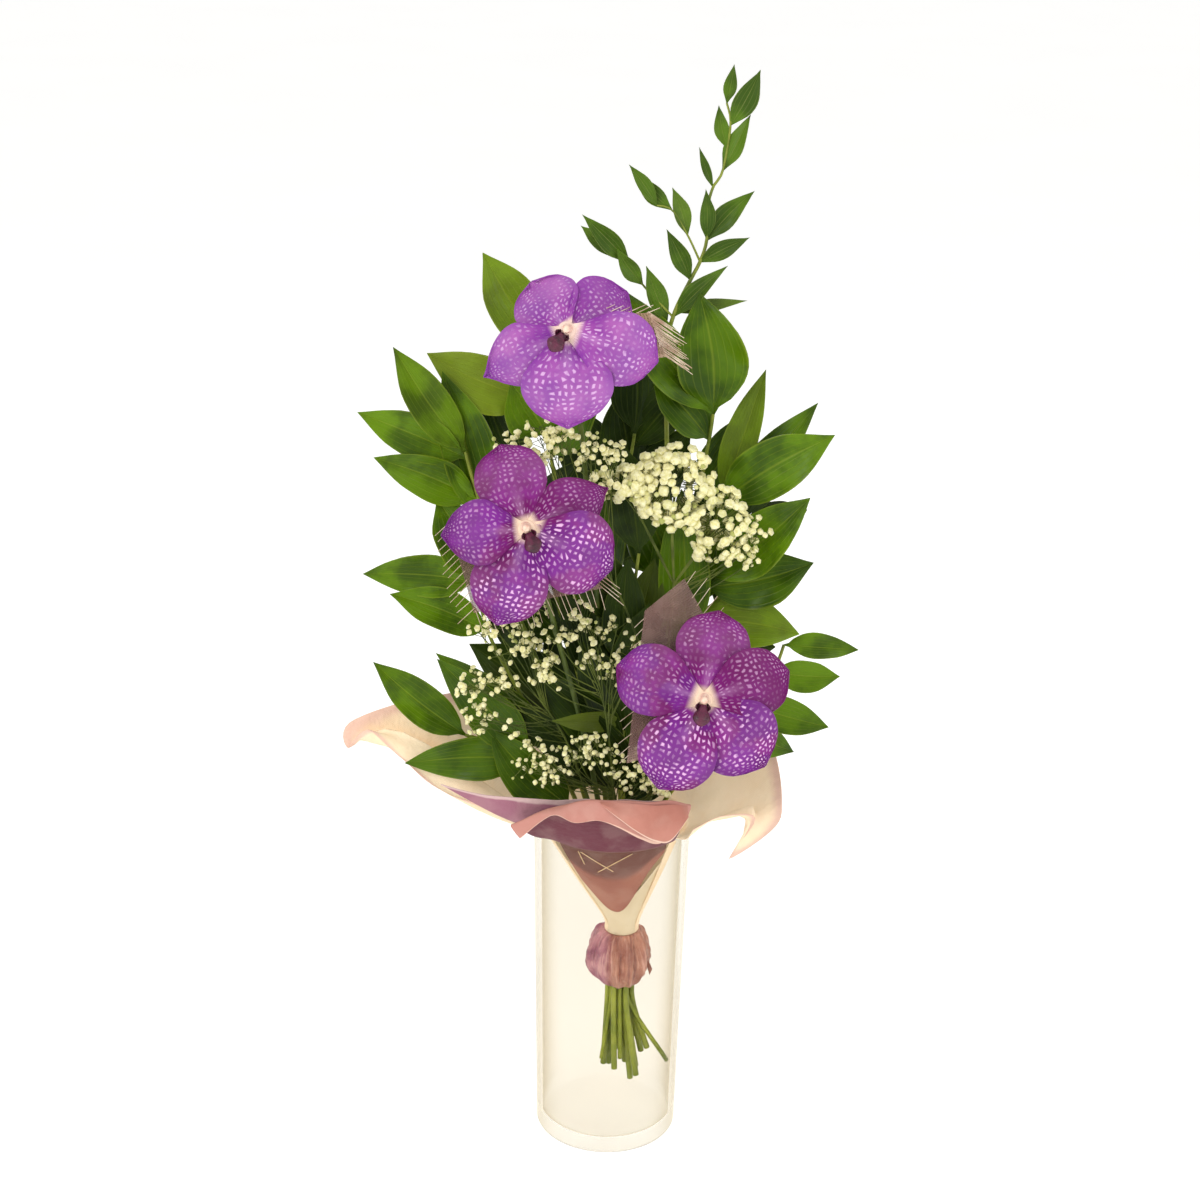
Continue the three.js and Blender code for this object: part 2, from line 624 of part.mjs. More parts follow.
// A spray: its trunk above the tie, its side branches, and its clusters of florets.
// A loose cluster grows from the trunk or a branch: 0 for the trunk or the branch's number,
// its highest twig's place on it, [centre x, y, z], [reach x, y, z], groups of florets,
// florets in a group, floret radius. A dense head is an egg of buds and
// twigs, [centre x, y, z], [reach x, y, z], with its florets standing all over it.
const HEAD_CORE = 0.75;
const TWIG_STEP = 0.16;
const breathSprays = [
  {
    name: 'babys_breath_high', slot: [2, 330], foot: [46, -3, 51], seed: 14,
    trunk: [[23, -12, 240], [29, -22, 330], [36, -28, 400], [38, -30, 440]],
    branches: [[[31, -24, 350], [2, -32, 430], [-32, -36, 488]]],
    clusters: [
      [1, 2, [-58, -36, 530], [26, 7, 12], 3, 3, 4.4],
      [1, 1.6, [-12, -36, 526], [12, 7, 12], 1, 3, 4.4],
      [0, 3, [88, -30, 474], [14, 7, 22], 2, 3, 3.8],
    ],
    heads: [
      [[38, -30, 440], [8, -32, 506], [19, 8, 9], 6, 5.2],
      [[38, -30, 440], [38, -32, 502], [22, 9, 22], 12, 5.4],
      [[38, -30, 440], [67, -31, 480], [15, 8, 20], 8, 5.2],
    ],
  },
  {
    name: 'babys_breath_left', slot: [2, 210], foot: [-4, -8, 55], seed: 23,
    trunk: [[-5, -8, 222], [-17, -15, 270], [-34, -22, 320], [-52, -28, 352]],
    branches: [],
    clusters: [
      [0, 3, [-72, -32, 404], [26, 7, 22], 3, 3, 4],
      [0, 2.6, [-88, -32, 362], [18, 7, 16], 1, 3, 4],
    ],
    heads: [],
  },
  {
    name: 'babys_breath_low', slot: [2, 270], foot: [10, -13, 58], seed: 37,
    trunk: [[8, -17, 232], [4, -28, 266], [0, -38, 290]],
    branches: [[[0, -38, 290], [-4, -40, 330], [-10, -40, 368]]],
    clusters: [
      [0, 2, [-28, -50, 310], [30, 7, 9], 3, 3, 4],
      [0, 1.4, [16, -54, 302], [18, 6, 8], 1, 3, 4],
      [1, 2, [-36, -40, 398], [22, 7, 26], 3, 3, 4],
      [1, 1.5, [4, -40, 398], [12, 7, 14], 1, 3, 4],
    ],
    heads: [],
  },
];

function randomDirection(random) {
  const height = 2 * random() - 1;
  const turn = 2 * Math.PI * random();
  const ring = Math.sqrt(1 - height * height);
  return [ring * Math.cos(turn), ring * Math.sin(turn), height];
}

function pointInEgg(center, reach, random) {
  const direction = randomDirection(random);
  const depth = Math.cbrt(0.3 + 0.7 * random());
  return center.map((value, axis) => value + depth * reach[axis] * direction[axis]);
}

function distanceToRoute(point, route) {
  const line = new THREE.Line3();
  const nearest = new THREE.Vector3();
  let shortest = Infinity;
  for (let index = 1; index < route.length; index += 1) {
    line.set(vec(route[index - 1]), vec(route[index]));
    line.closestPointToPoint(point, true, nearest);
    shortest = Math.min(shortest, nearest.distanceTo(point));
  }
  return shortest;
}

// True where a straight twig keeps clear of every bloom's stalk.
function clearOfStalks(from, to, clearance) {
  const samples = [0.15, 0.35, 0.55, 0.75, 1];
  return blooms.every(({ stalk }) => samples.every((share) => (
    distanceToRoute(vec(from).lerp(vec(to), share), stalk) > clearance
  )));
}

function apart(place, others, spacing) {
  return others.every((other) => vec(place).distanceTo(vec(other)) > spacing);
}

// A floret and its thin stalk, turned as one: [share of the length, share of the radius].
const FLORET_PROFILE = [[0, 0.14], [0.55, 0.14], [0.84, 1], [1.12, 0.6]];

function floretOnStalk(root, place, radius) {
  const reach = vec(place).sub(vec(root));
  const turned = FLORET_PROFILE.map(([share, width]) => [share * reach.length(), width * radius]);
  return turnedAlong(vec(root), reach.normalize(), turned, TWIG_SIDES);
}

// A loose cluster: each of its twigs runs to the heart of a group, and the group's florets
// leave it one after another.
function cluster(twigPath, [place, center, reach, groups, florets, radius], random) {
  const pieces = [];
  const hearts = [];
  const taken = [];
  for (let attempt = 0; attempt < 80 && hearts.length < groups; attempt += 1) {
    const heart = pointInEgg(center, reach.map((value) => value * 0.8), random);
    const fork = alongPath(twigPath, place - TWIG_STEP * hearts.length);
    if (!apart(heart, hearts, 15) || !clearOfStalks(fork, heart, 4)) {
      continue;
    }
    hearts.push(heart);
    pieces.push(rod([fork, heart], 0.9, 0.7, TWIG_SIDES, 1));
    const length = vec(heart).distanceTo(vec(fork));
    let grownHere = 0;
    for (let attempts = 0; attempts < 60 && grownHere < florets; attempts += 1) {
      const floret = pointInEgg(heart, [11, 7, 10], random);
      const down = (2 + 9 * (grownHere / florets)) / length;
      const root = vec(heart).lerp(vec(fork), down).toArray();
      const tooShort = vec(root).distanceTo(vec(floret)) < 7;
      if (tooShort || !apart(floret, taken, 2.2 * radius) || !clearOfStalks(root, floret, radius + 3.5)) {
        continue;
      }
      taken.push(floret);
      grownHere += 1;
      pieces.push(floretOnStalk(root, floret, radius));
    }
  }
  return pieces;
}

// A dense head: a small core of buds and twigs, with its florets standing out all over it.
function denseHead([fork, center, reach, florets, radius], random) {
  const core = new THREE.IcosahedronGeometry(HEAD_CORE, 0);
  core.scale(...reach).translate(...center);
  core.deleteAttribute('normal');
  core.deleteAttribute('uv');
  const pieces = [mergeVertices(core), rod([fork, center], 1.1, 1.1, TWIG_SIDES, 1)];
  const taken = [];
  for (let attempt = 0; attempt < 400 && taken.length < florets; attempt += 1) {
    const direction = randomDirection(random);
    const floret = center.map((value, axis) => value + reach[axis] * direction[axis]);
    if (apart(floret, taken, 1.9 * radius)) {
      taken.push(floret);
      const root = center.map((value, axis) => value + 0.4 * reach[axis] * direction[axis]);
      pieces.push(floretOnStalk(root, floret, radius));
    }
  }
  return pieces;
}

function breathSpray({ slot, foot, seed, trunk, branches, clusters, heads }) {
  const random = seededRandom(seed);
  const route = [foot, ...stemFoot(slot, foot[2]).slice(1), ...trunk];
  const pieces = [rod(route, THIN_STEM_RADIUS, 1, STEM_SIDES, route.length - 1)];
  for (const branch of branches) {
    pieces.push(rod(branch, 1, 0.8, TWIG_SIDES, branch.length - 1));
  }
  for (const [twig, ...one] of clusters) {
    pieces.push(...cluster([trunk, ...branches][twig], one, random));
  }
  for (const one of heads) {
    pieces.push(...denseHead(one, random));
  }
  return geometryOf(grown(pieces));
}

for (const spray of breathSprays) {
  place(spray.name, breathSpray(spray), breathWhite);
}

// ---------- frayed fibre collars ----------

// An open-weave square behind each bloom, held on its stalk, with its threads frayed out:
// corners as [right, up] from the bloom's centre, and frayed edges as
// [from corner, to corner, thread right, thread up, count].
const COLLAR_THICK = 0.7;
const THREAD_RADIUS = 0.45;
const collars = [
  {
    bloom: 'bloom_top', depth: -14, corners: [[-12, 2], [46, 0], [56, -32], [-6, -36]],
    edges: [[1, 2, 22, -10, 6]],
  },
  {
    bloom: 'bloom_middle', depth: -12, corners: [[-52, 6], [22, 26], [50, -38], [-34, -56]],
    edges: [[0, 3, -12, -12, 4], [2, 3, 6, -16, 3], [1, 2, 17, -13, 4]],
  },
  {
    bloom: 'bloom_low', depth: -12, corners: [[-40, 58], [-14, 80], [40, -16], [-50, -44]],
    edges: [[1, 2, 9, 12, 4], [0, 3, -9, -8, 4]],
  },
];

function collarGeometry({ bloom, depth, corners, edges }) {
  const { center, slot, cut, stalk } = blooms.find(({ name }) => name === bloom);
  const spot = ([right, up]) => bloomPoint(center, right, up, depth);
  const shares = [0, 0.5, 1];
  const grid = shares.map((down) => {
    const left = spot(corners[0]).lerp(spot(corners[3]), down);
    const right = spot(corners[1]).lerp(spot(corners[2]), down);
    return shares.map((across) => {
      const sway = -3 * Math.sin(Math.PI * down) * Math.sin(Math.PI * across);
      return left.clone().lerp(right, across).addScaledVector(bloomFront, sway);
    });
  });
  const pieces = [sheet(grid.map((row) => row.reverse()), COLLAR_THICK)];
  for (const [from, to, threadRight, threadUp, count] of edges) {
    for (let thread = 0; thread < count; thread += 1) {
      const share = (thread + 0.5) / count;
      const [startAt, endAt] = [corners[from], corners[to]];
      const start = startAt.map((value, axis) => THREE.MathUtils.lerp(value, endAt[axis], share));
      const reach = 0.8 + 0.2 * Math.cos(4 * thread);
      const root = spot([start[0] - 0.1 * threadRight, start[1] - 0.1 * threadUp]);
      const tip = spot([start[0] + reach * threadRight, start[1] + reach * threadUp]);
      pieces.push(rod([root.toArray(), tip.toArray()], THREAD_RADIUS, THREAD_RADIUS, TWIG_SIDES, 1));
    }
  }
  const hole = solid(stalkGeometry({ center, slot, cut, stalk }, SEAT_GAP));
  return geometryOf(grown(pieces).subtract(hole));
}

for (const collar of collars) {
  place(`${collar.bloom}_fibre_collar`, collarGeometry(collar), frayedFibre);
}

// ---------- organza wrap ----------

const GATHER_RADIUS = 2 * STEM_PITCH + STEM_RADIUS + SEAT_GAP + CLOTH / 2;
const GATHER_BOTTOM = TIE_TOP + SEAT_GAP;
const LAYER_STEP = 1.3;
const CONE_TOP = VASE_HEIGHT - 4;
const CONE_MOUTH = RIM_MIDDLE - RIM_ROUND - SEAT_GAP - CLOTH / 2;

// A point on the wrap's cone inside the vase, which narrows from the mouth to the bundle.
function conePoint(degrees, height, inset) {
  const angle = THREE.MathUtils.degToRad(degrees);
  const share = THREE.MathUtils.clamp((height - 170) / (CONE_TOP - 170), 0, 1);
  const radius = THREE.MathUtils.lerp(GATHER_RADIUS + 1.4, CONE_MOUTH, share) - inset;
  const middle = THREE.MathUtils.lerp(BUNDLE_X, 0, share);
  return new THREE.Vector3(middle + radius * Math.cos(angle), radius * Math.sin(angle), height);
}

// The sheet's way over the vase's rounded rim, each layer lying on the one below it.
function overRim(degrees, layer) {
  const angle = THREE.MathUtils.degToRad(degrees);
  const bend = RIM_ROUND + SEAT_GAP + CLOTH / 2 + layer * LAYER_STEP;
  const points = [180, 135, 90].map((turn) => {
    const lean = THREE.MathUtils.degToRad(turn);
    return [RIM_MIDDLE + bend * Math.cos(lean), VASE_HEIGHT - RIM_ROUND + bend * Math.sin(lean)];
  });
  points.push([RIM_MIDDLE + 4.5 - layer * LAYER_STEP, VASE_HEIGHT - RIM_ROUND + bend + 0.9]);
  return points.map(([radius, height]) => (
    new THREE.Vector3(radius * Math.cos(angle), radius * Math.sin(angle), height)
  ));
}

// From the rim out to the sheet's edge, sagging a little on the way.
function flare(rimPoint, edge, sag) {
  const half = rimPoint.clone().lerp(edge, 0.5);
  half.z -= sag;
  return [half, edge];
}

// The cream sheet's edge, right front round the back to left front: [degrees, x, y, z].
const creamEdge = [
  [-38, 57, -38, 260], [-31, 77, -38, 273], [-25, 100, -40, 270], [-21, 82, -45, 241],
  [-16, 115, -37, 263], [-8, 118, -30, 284], [14, 111, 14, 310], [34, 96, 46, 315], [54, 66, 74, 320],
  [74, 28, 90, 325], [94, -6, 95, 325], [114, -44, 86, 326], [134, -84, 62, 328], [150, -118, 34, 330],
  [163, -150, 6, 334], [174, -188, -4, 321], [182, -190, -8, 304], [189, -174, -12, 318],
  [196, -150, -15, 299], [204, -122, -22, 278], [214, -72, -22, 262],
];

function creamWrap() {
  const columns = creamEdge.map(([degrees, x, y, z]) => {
    const rim = overRim(degrees, 0);
    const cone = [
      conePoint(degrees, GATHER_BOTTOM, 1.4), conePoint(degrees, 172, 0.2), conePoint(degrees, 208, 0),
    ];
    return [...cone, ...rim, ...flare(rim[3], new THREE.Vector3(x, y, z), 4)];
  });
  const outer = sheet(rowsOf(columns), CLOTH);
  // The sheet's front end crosses over itself low inside the vase.
  const front = [];
  for (let degrees = 208; degrees <= 328; degrees += 15) {
    const slope = Math.min(1, Math.abs(degrees - 268) / 60);
    const top = 190 + 44 * slope * slope;
    const inset = 0.5 + 2.2 * Math.sin(Math.PI * ((degrees - 208) / 120)) ** 0.5;
    const heights = [0, 0.2, 0.5, 1].map((share) => THREE.MathUtils.lerp(GATHER_BOTTOM, top, share));
    front.push(heights.map((height) => {
      const wide = THREE.MathUtils.clamp((height - 170) / 15, 0, 1);
      return conePoint(degrees, height, THREE.MathUtils.lerp(1.4, inset, wide));
    }));
  }
  return geometryOf(grown([outer, sheet(rowsOf(front), CLOTH)]));
}

// Turns a list of columns into a list of rows.
function rowsOf(columns) {
  return columns[0].map((_, row) => columns.map((column) => column[row]));
}

// A front panel: a rounded foot inside the cone, and an edge flared out over the rim.
function frontPanel(edgePoints, foot, layer) {
  const inset = layer * LAYER_STEP;
  const columns = edgePoints.map(([degrees, x, y, z]) => {
    const slope = Math.abs(degrees - 270) / 48;
    const low = foot + (CONE_TOP - 8 - foot) * Math.min(1, slope ** 1.7);
    const rim = overRim(degrees, layer);
    const cone = [conePoint(degrees, low, inset), conePoint(degrees, (low + CONE_TOP) / 2, inset)];
    return [...cone, ...rim, ...flare(rim[3], new THREE.Vector3(x, y, z), 3)];
  });
  return sheet(rowsOf(columns), CLOTH);
}

const mauveEdge = [
  [224, -69, -56, 270], [235, -54, -66, 283], [246, -37, -72, 291], [258, -22, -75, 297],
  [270, -6, -77, 300], [282, 10, -77, 299], [294, 27, -75, 297], [306, 41, -68, 295], [318, 52, -60, 290],
];
const plumEdge = [
  [224, -121, -34, 289], [235, -86, -44, 286], [246, -46, -58, 289], [258, -24, -66, 294],
  [270, -6, -69, 296], [282, 8, -69, 296], [294, 23, -67, 294], [306, 36, -61, 291], [318, 47, -53, 287],
];

place('wrap_cream', creamWrap(), creamOrganza);
place('wrap_mauve', frontPanel(mauveEdge, 184, 0), mauveOrganza);
place('wrap_plum', frontPanel(plumEdge, 205, 1), plumOrganza);

export default bouquet;
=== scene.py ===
# A hand-tied spray of three vanda blooms in a tall glass vase, with ruscus, soft ruscus,
# baby's breath, a frayed fibre square behind each bloom and an organza wrap.
import json
import math
import random

import bpy
from mathutils import Matrix, Vector

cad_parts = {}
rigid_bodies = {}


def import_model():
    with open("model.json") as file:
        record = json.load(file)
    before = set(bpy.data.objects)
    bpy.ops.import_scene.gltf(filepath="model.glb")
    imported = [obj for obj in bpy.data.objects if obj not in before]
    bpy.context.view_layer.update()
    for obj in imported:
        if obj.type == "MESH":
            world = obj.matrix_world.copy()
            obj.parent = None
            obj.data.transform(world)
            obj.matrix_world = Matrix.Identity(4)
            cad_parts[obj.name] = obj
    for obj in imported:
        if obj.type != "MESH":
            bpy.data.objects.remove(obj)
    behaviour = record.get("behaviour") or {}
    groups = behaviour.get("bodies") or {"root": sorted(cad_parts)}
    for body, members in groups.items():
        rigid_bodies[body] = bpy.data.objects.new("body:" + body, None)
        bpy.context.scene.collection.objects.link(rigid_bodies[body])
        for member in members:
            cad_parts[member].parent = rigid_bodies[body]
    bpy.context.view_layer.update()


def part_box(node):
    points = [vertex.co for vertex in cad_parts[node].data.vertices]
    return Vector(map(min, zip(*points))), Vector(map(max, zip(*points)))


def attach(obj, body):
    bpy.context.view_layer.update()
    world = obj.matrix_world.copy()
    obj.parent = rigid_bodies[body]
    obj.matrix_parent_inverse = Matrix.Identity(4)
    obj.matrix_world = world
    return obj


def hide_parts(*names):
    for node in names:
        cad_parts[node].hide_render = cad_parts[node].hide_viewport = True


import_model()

# ---------- Camera, floor and light ----------
# A camera a little above the spray and tipped down at it, over a plain pale floor, with a
# large soft panel at each side and one behind.

CAMERA_PLACE = (-0.012, -1.473, 0.9495)
CAMERA_PITCH = math.radians(19.9)
CAMERA_ROLL = math.radians(1.2)
CAMERA_LENS = 67.5
FLOOR_REACH = 30.0
FLOOR_DROP = 0.0004
LIT_SPOT = Vector((0, 0, 0.4))

scene = bpy.context.scene
scene.view_settings.view_transform = "Standard"


def turned_matrix(right, up, away):
    """A turn whose X, Y and Z axes point these three ways."""
    return Matrix((right, up, away)).transposed()


camera = bpy.data.objects.new("camera", bpy.data.cameras.new("camera"))
camera.data.lens = CAMERA_LENS
bpy.context.collection.objects.link(camera)
ahead = Vector((0, math.cos(CAMERA_PITCH), -math.sin(CAMERA_PITCH)))
level = Vector((1, 0, 0))
camera_right = math.cos(CAMERA_ROLL) * level + math.sin(CAMERA_ROLL) * level.cross(ahead)
camera_turn = turned_matrix(camera_right, camera_right.cross(ahead), -ahead)
camera.matrix_world = Matrix.Translation(CAMERA_PLACE) @ camera_turn.to_4x4()
scene.camera = camera


def panel_light(name, place, size, watts, tint):
    """A large square lamp that shines at the middle of the spray."""
    lamp = bpy.data.lights.new(name, "AREA")
    lamp.size = size
    lamp.energy = watts
    lamp.color = tint
    panel = bpy.data.objects.new(name, lamp)
    panel.location = place
    aim = LIT_SPOT - Vector(place)
    panel.rotation_euler = aim.to_track_quat("-Z", "Y").to_euler()
    bpy.context.collection.objects.link(panel)


panel_light("panel_left", (-1.1, -1.4, 1.5), 1.1, 17, (1.0, 0.97, 0.92))
panel_light("panel_right", (1.4, -1.0, 1.1), 1.0, 7, (1.0, 0.96, 0.9))
panel_light("panel_behind", (0.5, 1.5, 1.5), 1.2, 7, (1.0, 1.0, 1.0))

world = bpy.data.worlds.new("soft_room")
world.use_nodes = True
world.node_tree.nodes["Background"].inputs["Color"].default_value = (1.0, 0.995, 0.985, 1)
world.node_tree.nodes["Background"].inputs["Strength"].default_value = 0.72
scene.world = world


def paint(red, green, blue):
    """A colour given as 0-255 screen values, in the linear form that shaders read."""
    return tuple(((value / 255 + 0.055) / 1.055) ** 2.4 for value in (red, green, blue)) + (1,)


def new_finish(name, **sockets):
    """A material with its shader's plain values set: base_color becomes Base Color."""
    material = bpy.data.materials.new(name)
    material.use_nodes = True
    shader = material.node_tree.nodes["Principled BSDF"]
    for socket, value in sockets.items():
        title = socket.replace("_", " ").title().replace("Ior", "IOR")
        shader.inputs[title].default_value = value
    return material, material.node_tree, shader


def add_node(tree, kind, **settings):
    """A new node of a material or a group, with its settings made."""
    node = tree.nodes.new(kind)
    for setting, value in settings.items():
        setattr(node, setting, value)
    return node


def feed(tree, socket, source):
    """Gives a socket a plain value, or links it to another node's output."""
    if isinstance(source, bpy.types.NodeSocket):
        tree.links.new(source, socket)
    else:
        socket.default_value = source


def mix_paint(tree, share, first, second):
    """A colour that goes from the first to the second as the share goes from 0 to 1."""
    node = add_node(tree, "ShaderNodeMix", data_type="RGBA")
    feed(tree, node.inputs[0], share)
    feed(tree, node.inputs[6], first)
    feed(tree, node.inputs[7], second)
    return node.outputs[2]


def ramp(tree, value, low, high, to_low=0.0, to_high=1.0):
    """A value eased from one level to another while the given one goes from low to high."""
    node = add_node(tree, "ShaderNodeMapRange", interpolation_type="SMOOTHSTEP")
    for socket, source in zip(node.inputs, (value, low, high, to_low, to_high)):
        feed(tree, socket, source)
    return node.outputs["Result"]


def calc(tree, operation, *values):
    """A sum, a product or another step of arithmetic on one or two values."""
    node = add_node(tree, "ShaderNodeMath", operation=operation)
    for socket, source in zip(node.inputs, values):
        feed(tree, socket, source)
    return node.outputs[0]


def mottle_group():
    """Soft uneven tone over a surface, as growth, dye or handling leaves it."""
    tree = bpy.data.node_groups.new("soft_mottle", "ShaderNodeTree")
    tree.interface.new_socket(name="Patch Size", in_out="INPUT", socket_type="NodeSocketFloat")
    tree.interface.new_socket(name="Tone", in_out="OUTPUT", socket_type="NodeSocketFloat")
    given = add_node(tree, "NodeGroupInput")
    result = add_node(tree, "NodeGroupOutput")
    place = add_node(tree, "ShaderNodeTexCoord")
    speckle = add_node(tree, "ShaderNodeTexNoise")
    scale = calc(tree, "DIVIDE", 1.0, given.outputs["Patch Size"])
    feed(tree, speckle.inputs["Vector"], place.outputs["Object"])
    feed(tree, speckle.inputs["Scale"], scale)
    feed(tree, speckle.inputs["Detail"], 4.0)
    feed(tree, result.inputs["Tone"], ramp(tree, speckle.outputs["Fac"], 0.3, 0.7))
    return tree


soft_mottle = mottle_group()


def mottle(tree, patch_size):
    """The soft uneven tone, with patches of about this size in metres."""
    node = add_node(tree, "ShaderNodeGroup", node_tree=soft_mottle)
    feed(tree, node.inputs["Patch Size"], patch_size)
    return node.outputs["Tone"]


floor_finish, tree, shader = new_finish("pale_floor", roughness=0.7)
floor_tone = mix_paint(tree, mottle(tree, 0.4), paint(251, 251, 250), paint(253, 253, 252))
feed(tree, shader.inputs["Base Color"], floor_tone)
shader.inputs["Emission Color"].default_value = (1, 1, 1, 1)
shader.inputs["Emission Strength"].default_value = 0.3

floor_mesh = bpy.data.meshes.new("floor")
sides = ((-1, -1), (1, -1), (1, 1), (-1, 1))
floor_corners = [(x * FLOOR_REACH, y * FLOOR_REACH, -FLOOR_DROP) for x, y in sides]
floor_mesh.from_pydata(floor_corners, [], [(0, 1, 2, 3)])
floor_mesh.materials.append(floor_finish)
floor = bpy.data.objects.new("floor", floor_mesh)
bpy.context.collection.objects.link(floor)

# ---------- Glass vase ----------
# A tall moulded vase of clear soda glass: a thick floor, a wall that widens a little
# towards the mouth, and a fire-polished rim.

MM = 0.001
vase_corner = Vector(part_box("glass_vase")[1]) / MM
VASE_HEIGHT = vase_corner.z
MOUTH_RADIUS = vase_corner.x
FOOT_RADIUS = 52
WALL = 3.5
VASE_FLOOR = 10
FOOT_ROUND = 5
INNER_ROUND = (8, 6)
RIM_ROUND = WALL / 2
RIM_MIDDLE = MOUTH_RADIUS - RIM_ROUND
VASE_TURNS = 96


def arc(middle, reach, start, end, steps):
    """Points on an ellipse's arc, as (radius, height), its angles in degrees."""
    points = []
    for step in range(steps + 1):
        angle = math.radians(start + (end - start) * step / steps)
        across, up = reach[0] * math.cos(angle), reach[1] * math.sin(angle)
        points.append((middle[0] + across, middle[1] + up))
    return points


def mesh_object(name, points, faces, finish, uvs=None, sharp_angle=60):
    """A finished piece from points in millimetres, its faces shaded smooth."""
    mesh = bpy.data.meshes.new(name)
    mesh.from_pydata([Vector(point) * MM for point in points], [], faces)
    if uvs:
        layer = mesh.uv_layers.new(name="UVMap")
        for loop in mesh.loops:
            layer.data[loop.index].uv = uvs[loop.vertex_index]
    mesh.materials.append(finish)
    mesh.shade_smooth()
    mesh.set_sharp_from_angle(angle=math.radians(sharp_angle))
    piece = bpy.data.objects.new(name, mesh)
    bpy.context.collection.objects.link(piece)
    return piece


def bumped(tree, shader, height, distance, strength):
    """Lets a height pattern tip a finish's surface, its distance in metres."""
    node = add_node(tree, "ShaderNodeBump")
    feed(tree, node.inputs["Height"], height)
    feed(tree, node.inputs["Distance"], distance)
    feed(tree, node.inputs["Strength"], strength)
    tree.links.new(node.outputs["Normal"], shader.inputs["Normal"])


def settle(piece, node):
    """Puts a finished piece on the one body, in place of a solid."""
    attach(piece, "root")
    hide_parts(node)


def ring_faces(rings, sides, closed=False):
    """Faces between rings of points, each ring going round with the same number of sides."""
    faces = []
    for ring in range(rings if closed else rings - 1):
        near, far = ring * sides, (ring + 1) % rings * sides
        for side in range(sides):
            following = (side + 1) % sides
            faces.append((near + side, near + following, far + following, far + side))
    return faces


outside = arc((FOOT_RADIUS - FOOT_ROUND, FOOT_ROUND), (FOOT_ROUND, FOOT_ROUND), -90, 0, 6)
rim = arc((RIM_MIDDLE, VASE_HEIGHT - RIM_ROUND), (RIM_ROUND, RIM_ROUND), 0, 180, 8)
inner_middle = (FOOT_RADIUS - WALL - INNER_ROUND[0], VASE_FLOOR + INNER_ROUND[1])
inner_corner = arc(inner_middle, INNER_ROUND, 0, -90, 6)
profile = outside + rim + inner_corner
vase_points = []
for radius, height in profile:
    for turn in range(VASE_TURNS):
        angle = 2 * math.pi * turn / VASE_TURNS
        vase_points.append((radius * math.cos(angle), radius * math.sin(angle), height))
vase_faces = ring_faces(len(profile), VASE_TURNS)
vase_points += [(0, 0, 0), (0, 0, VASE_FLOOR)]
under, over = len(vase_points) - 2, len(vase_points) - 1
last_ring = (len(profile) - 1) * VASE_TURNS
for turn in range(VASE_TURNS):
    following = (turn + 1) % VASE_TURNS
    vase_faces.append((under, following, turn))
    vase_faces.append((over, last_ring + turn, last_ring + following))

vase_finish, tree, shader = new_finish("clear_glass", transmission_weight=1.0, ior=1.08)
grazing = add_node(tree, "ShaderNodeLayerWeight")
feed(tree, grazing.inputs["Blend"], 0.5)
edge_on = ramp(tree, grazing.outputs["Facing"], 0.3, 1.0)
glass_tint = mix_paint(tree, edge_on, paint(241, 238, 231), paint(192, 178, 142))
feed(tree, shader.inputs["Base Color"], glass_tint)
smudges = ramp(tree, mottle(tree, 0.035), 0.0, 1.0, 0.015, 0.05)
feed(tree, shader.inputs["Roughness"], smudges)
bumped(tree, shader, mottle(tree, 0.06), 0.0003, 0.15)
# Light on its way to the stems, the cloth and the floor goes straight through the clear wall,
# and so does light that would be caught inside the wall.
ray = add_node(tree, "ShaderNodeLightPath")
straight = calc(tree, "MAXIMUM", ray.outputs["Is Shadow Ray"], ray.outputs["Is Diffuse Ray"])
caught = calc(tree, "GREATER_THAN", ray.outputs["Ray Depth"], 4.5)
passed = calc(tree, "MULTIPLY", calc(tree, "MAXIMUM", straight, caught), 0.92)
feed(tree, shader.inputs["Alpha"], calc(tree, "SUBTRACT", 1.0, passed))
vase = mesh_object("clear_vase", vase_points, vase_faces, vase_finish)
settle(vase, "glass_vase")

# ---------- Leafy ruscus stems ----------
# Cut stems of wide-leaved ruscus: a smooth green stem with stiff, glossy, pointed blades
# that leave it one after another, and stems of the same plant behind them, their blades
# darkened with painted shade.

BUNDLE_X = 9
STEM_RADIUS = 2.3
STEM_PITCH = 2 * STEM_RADIUS + 0.05
BUNDLE_HEIGHTS = (100, 125, 150, 172)
SPLAY = 1.75
SPLAY_SHIFT = 5
RUSCUS_TIP_RADIUS = 1.2
FACING_TILT = math.radians(20)
toward_viewer = Vector((0, -math.cos(FACING_TILT), math.sin(FACING_TILT)))

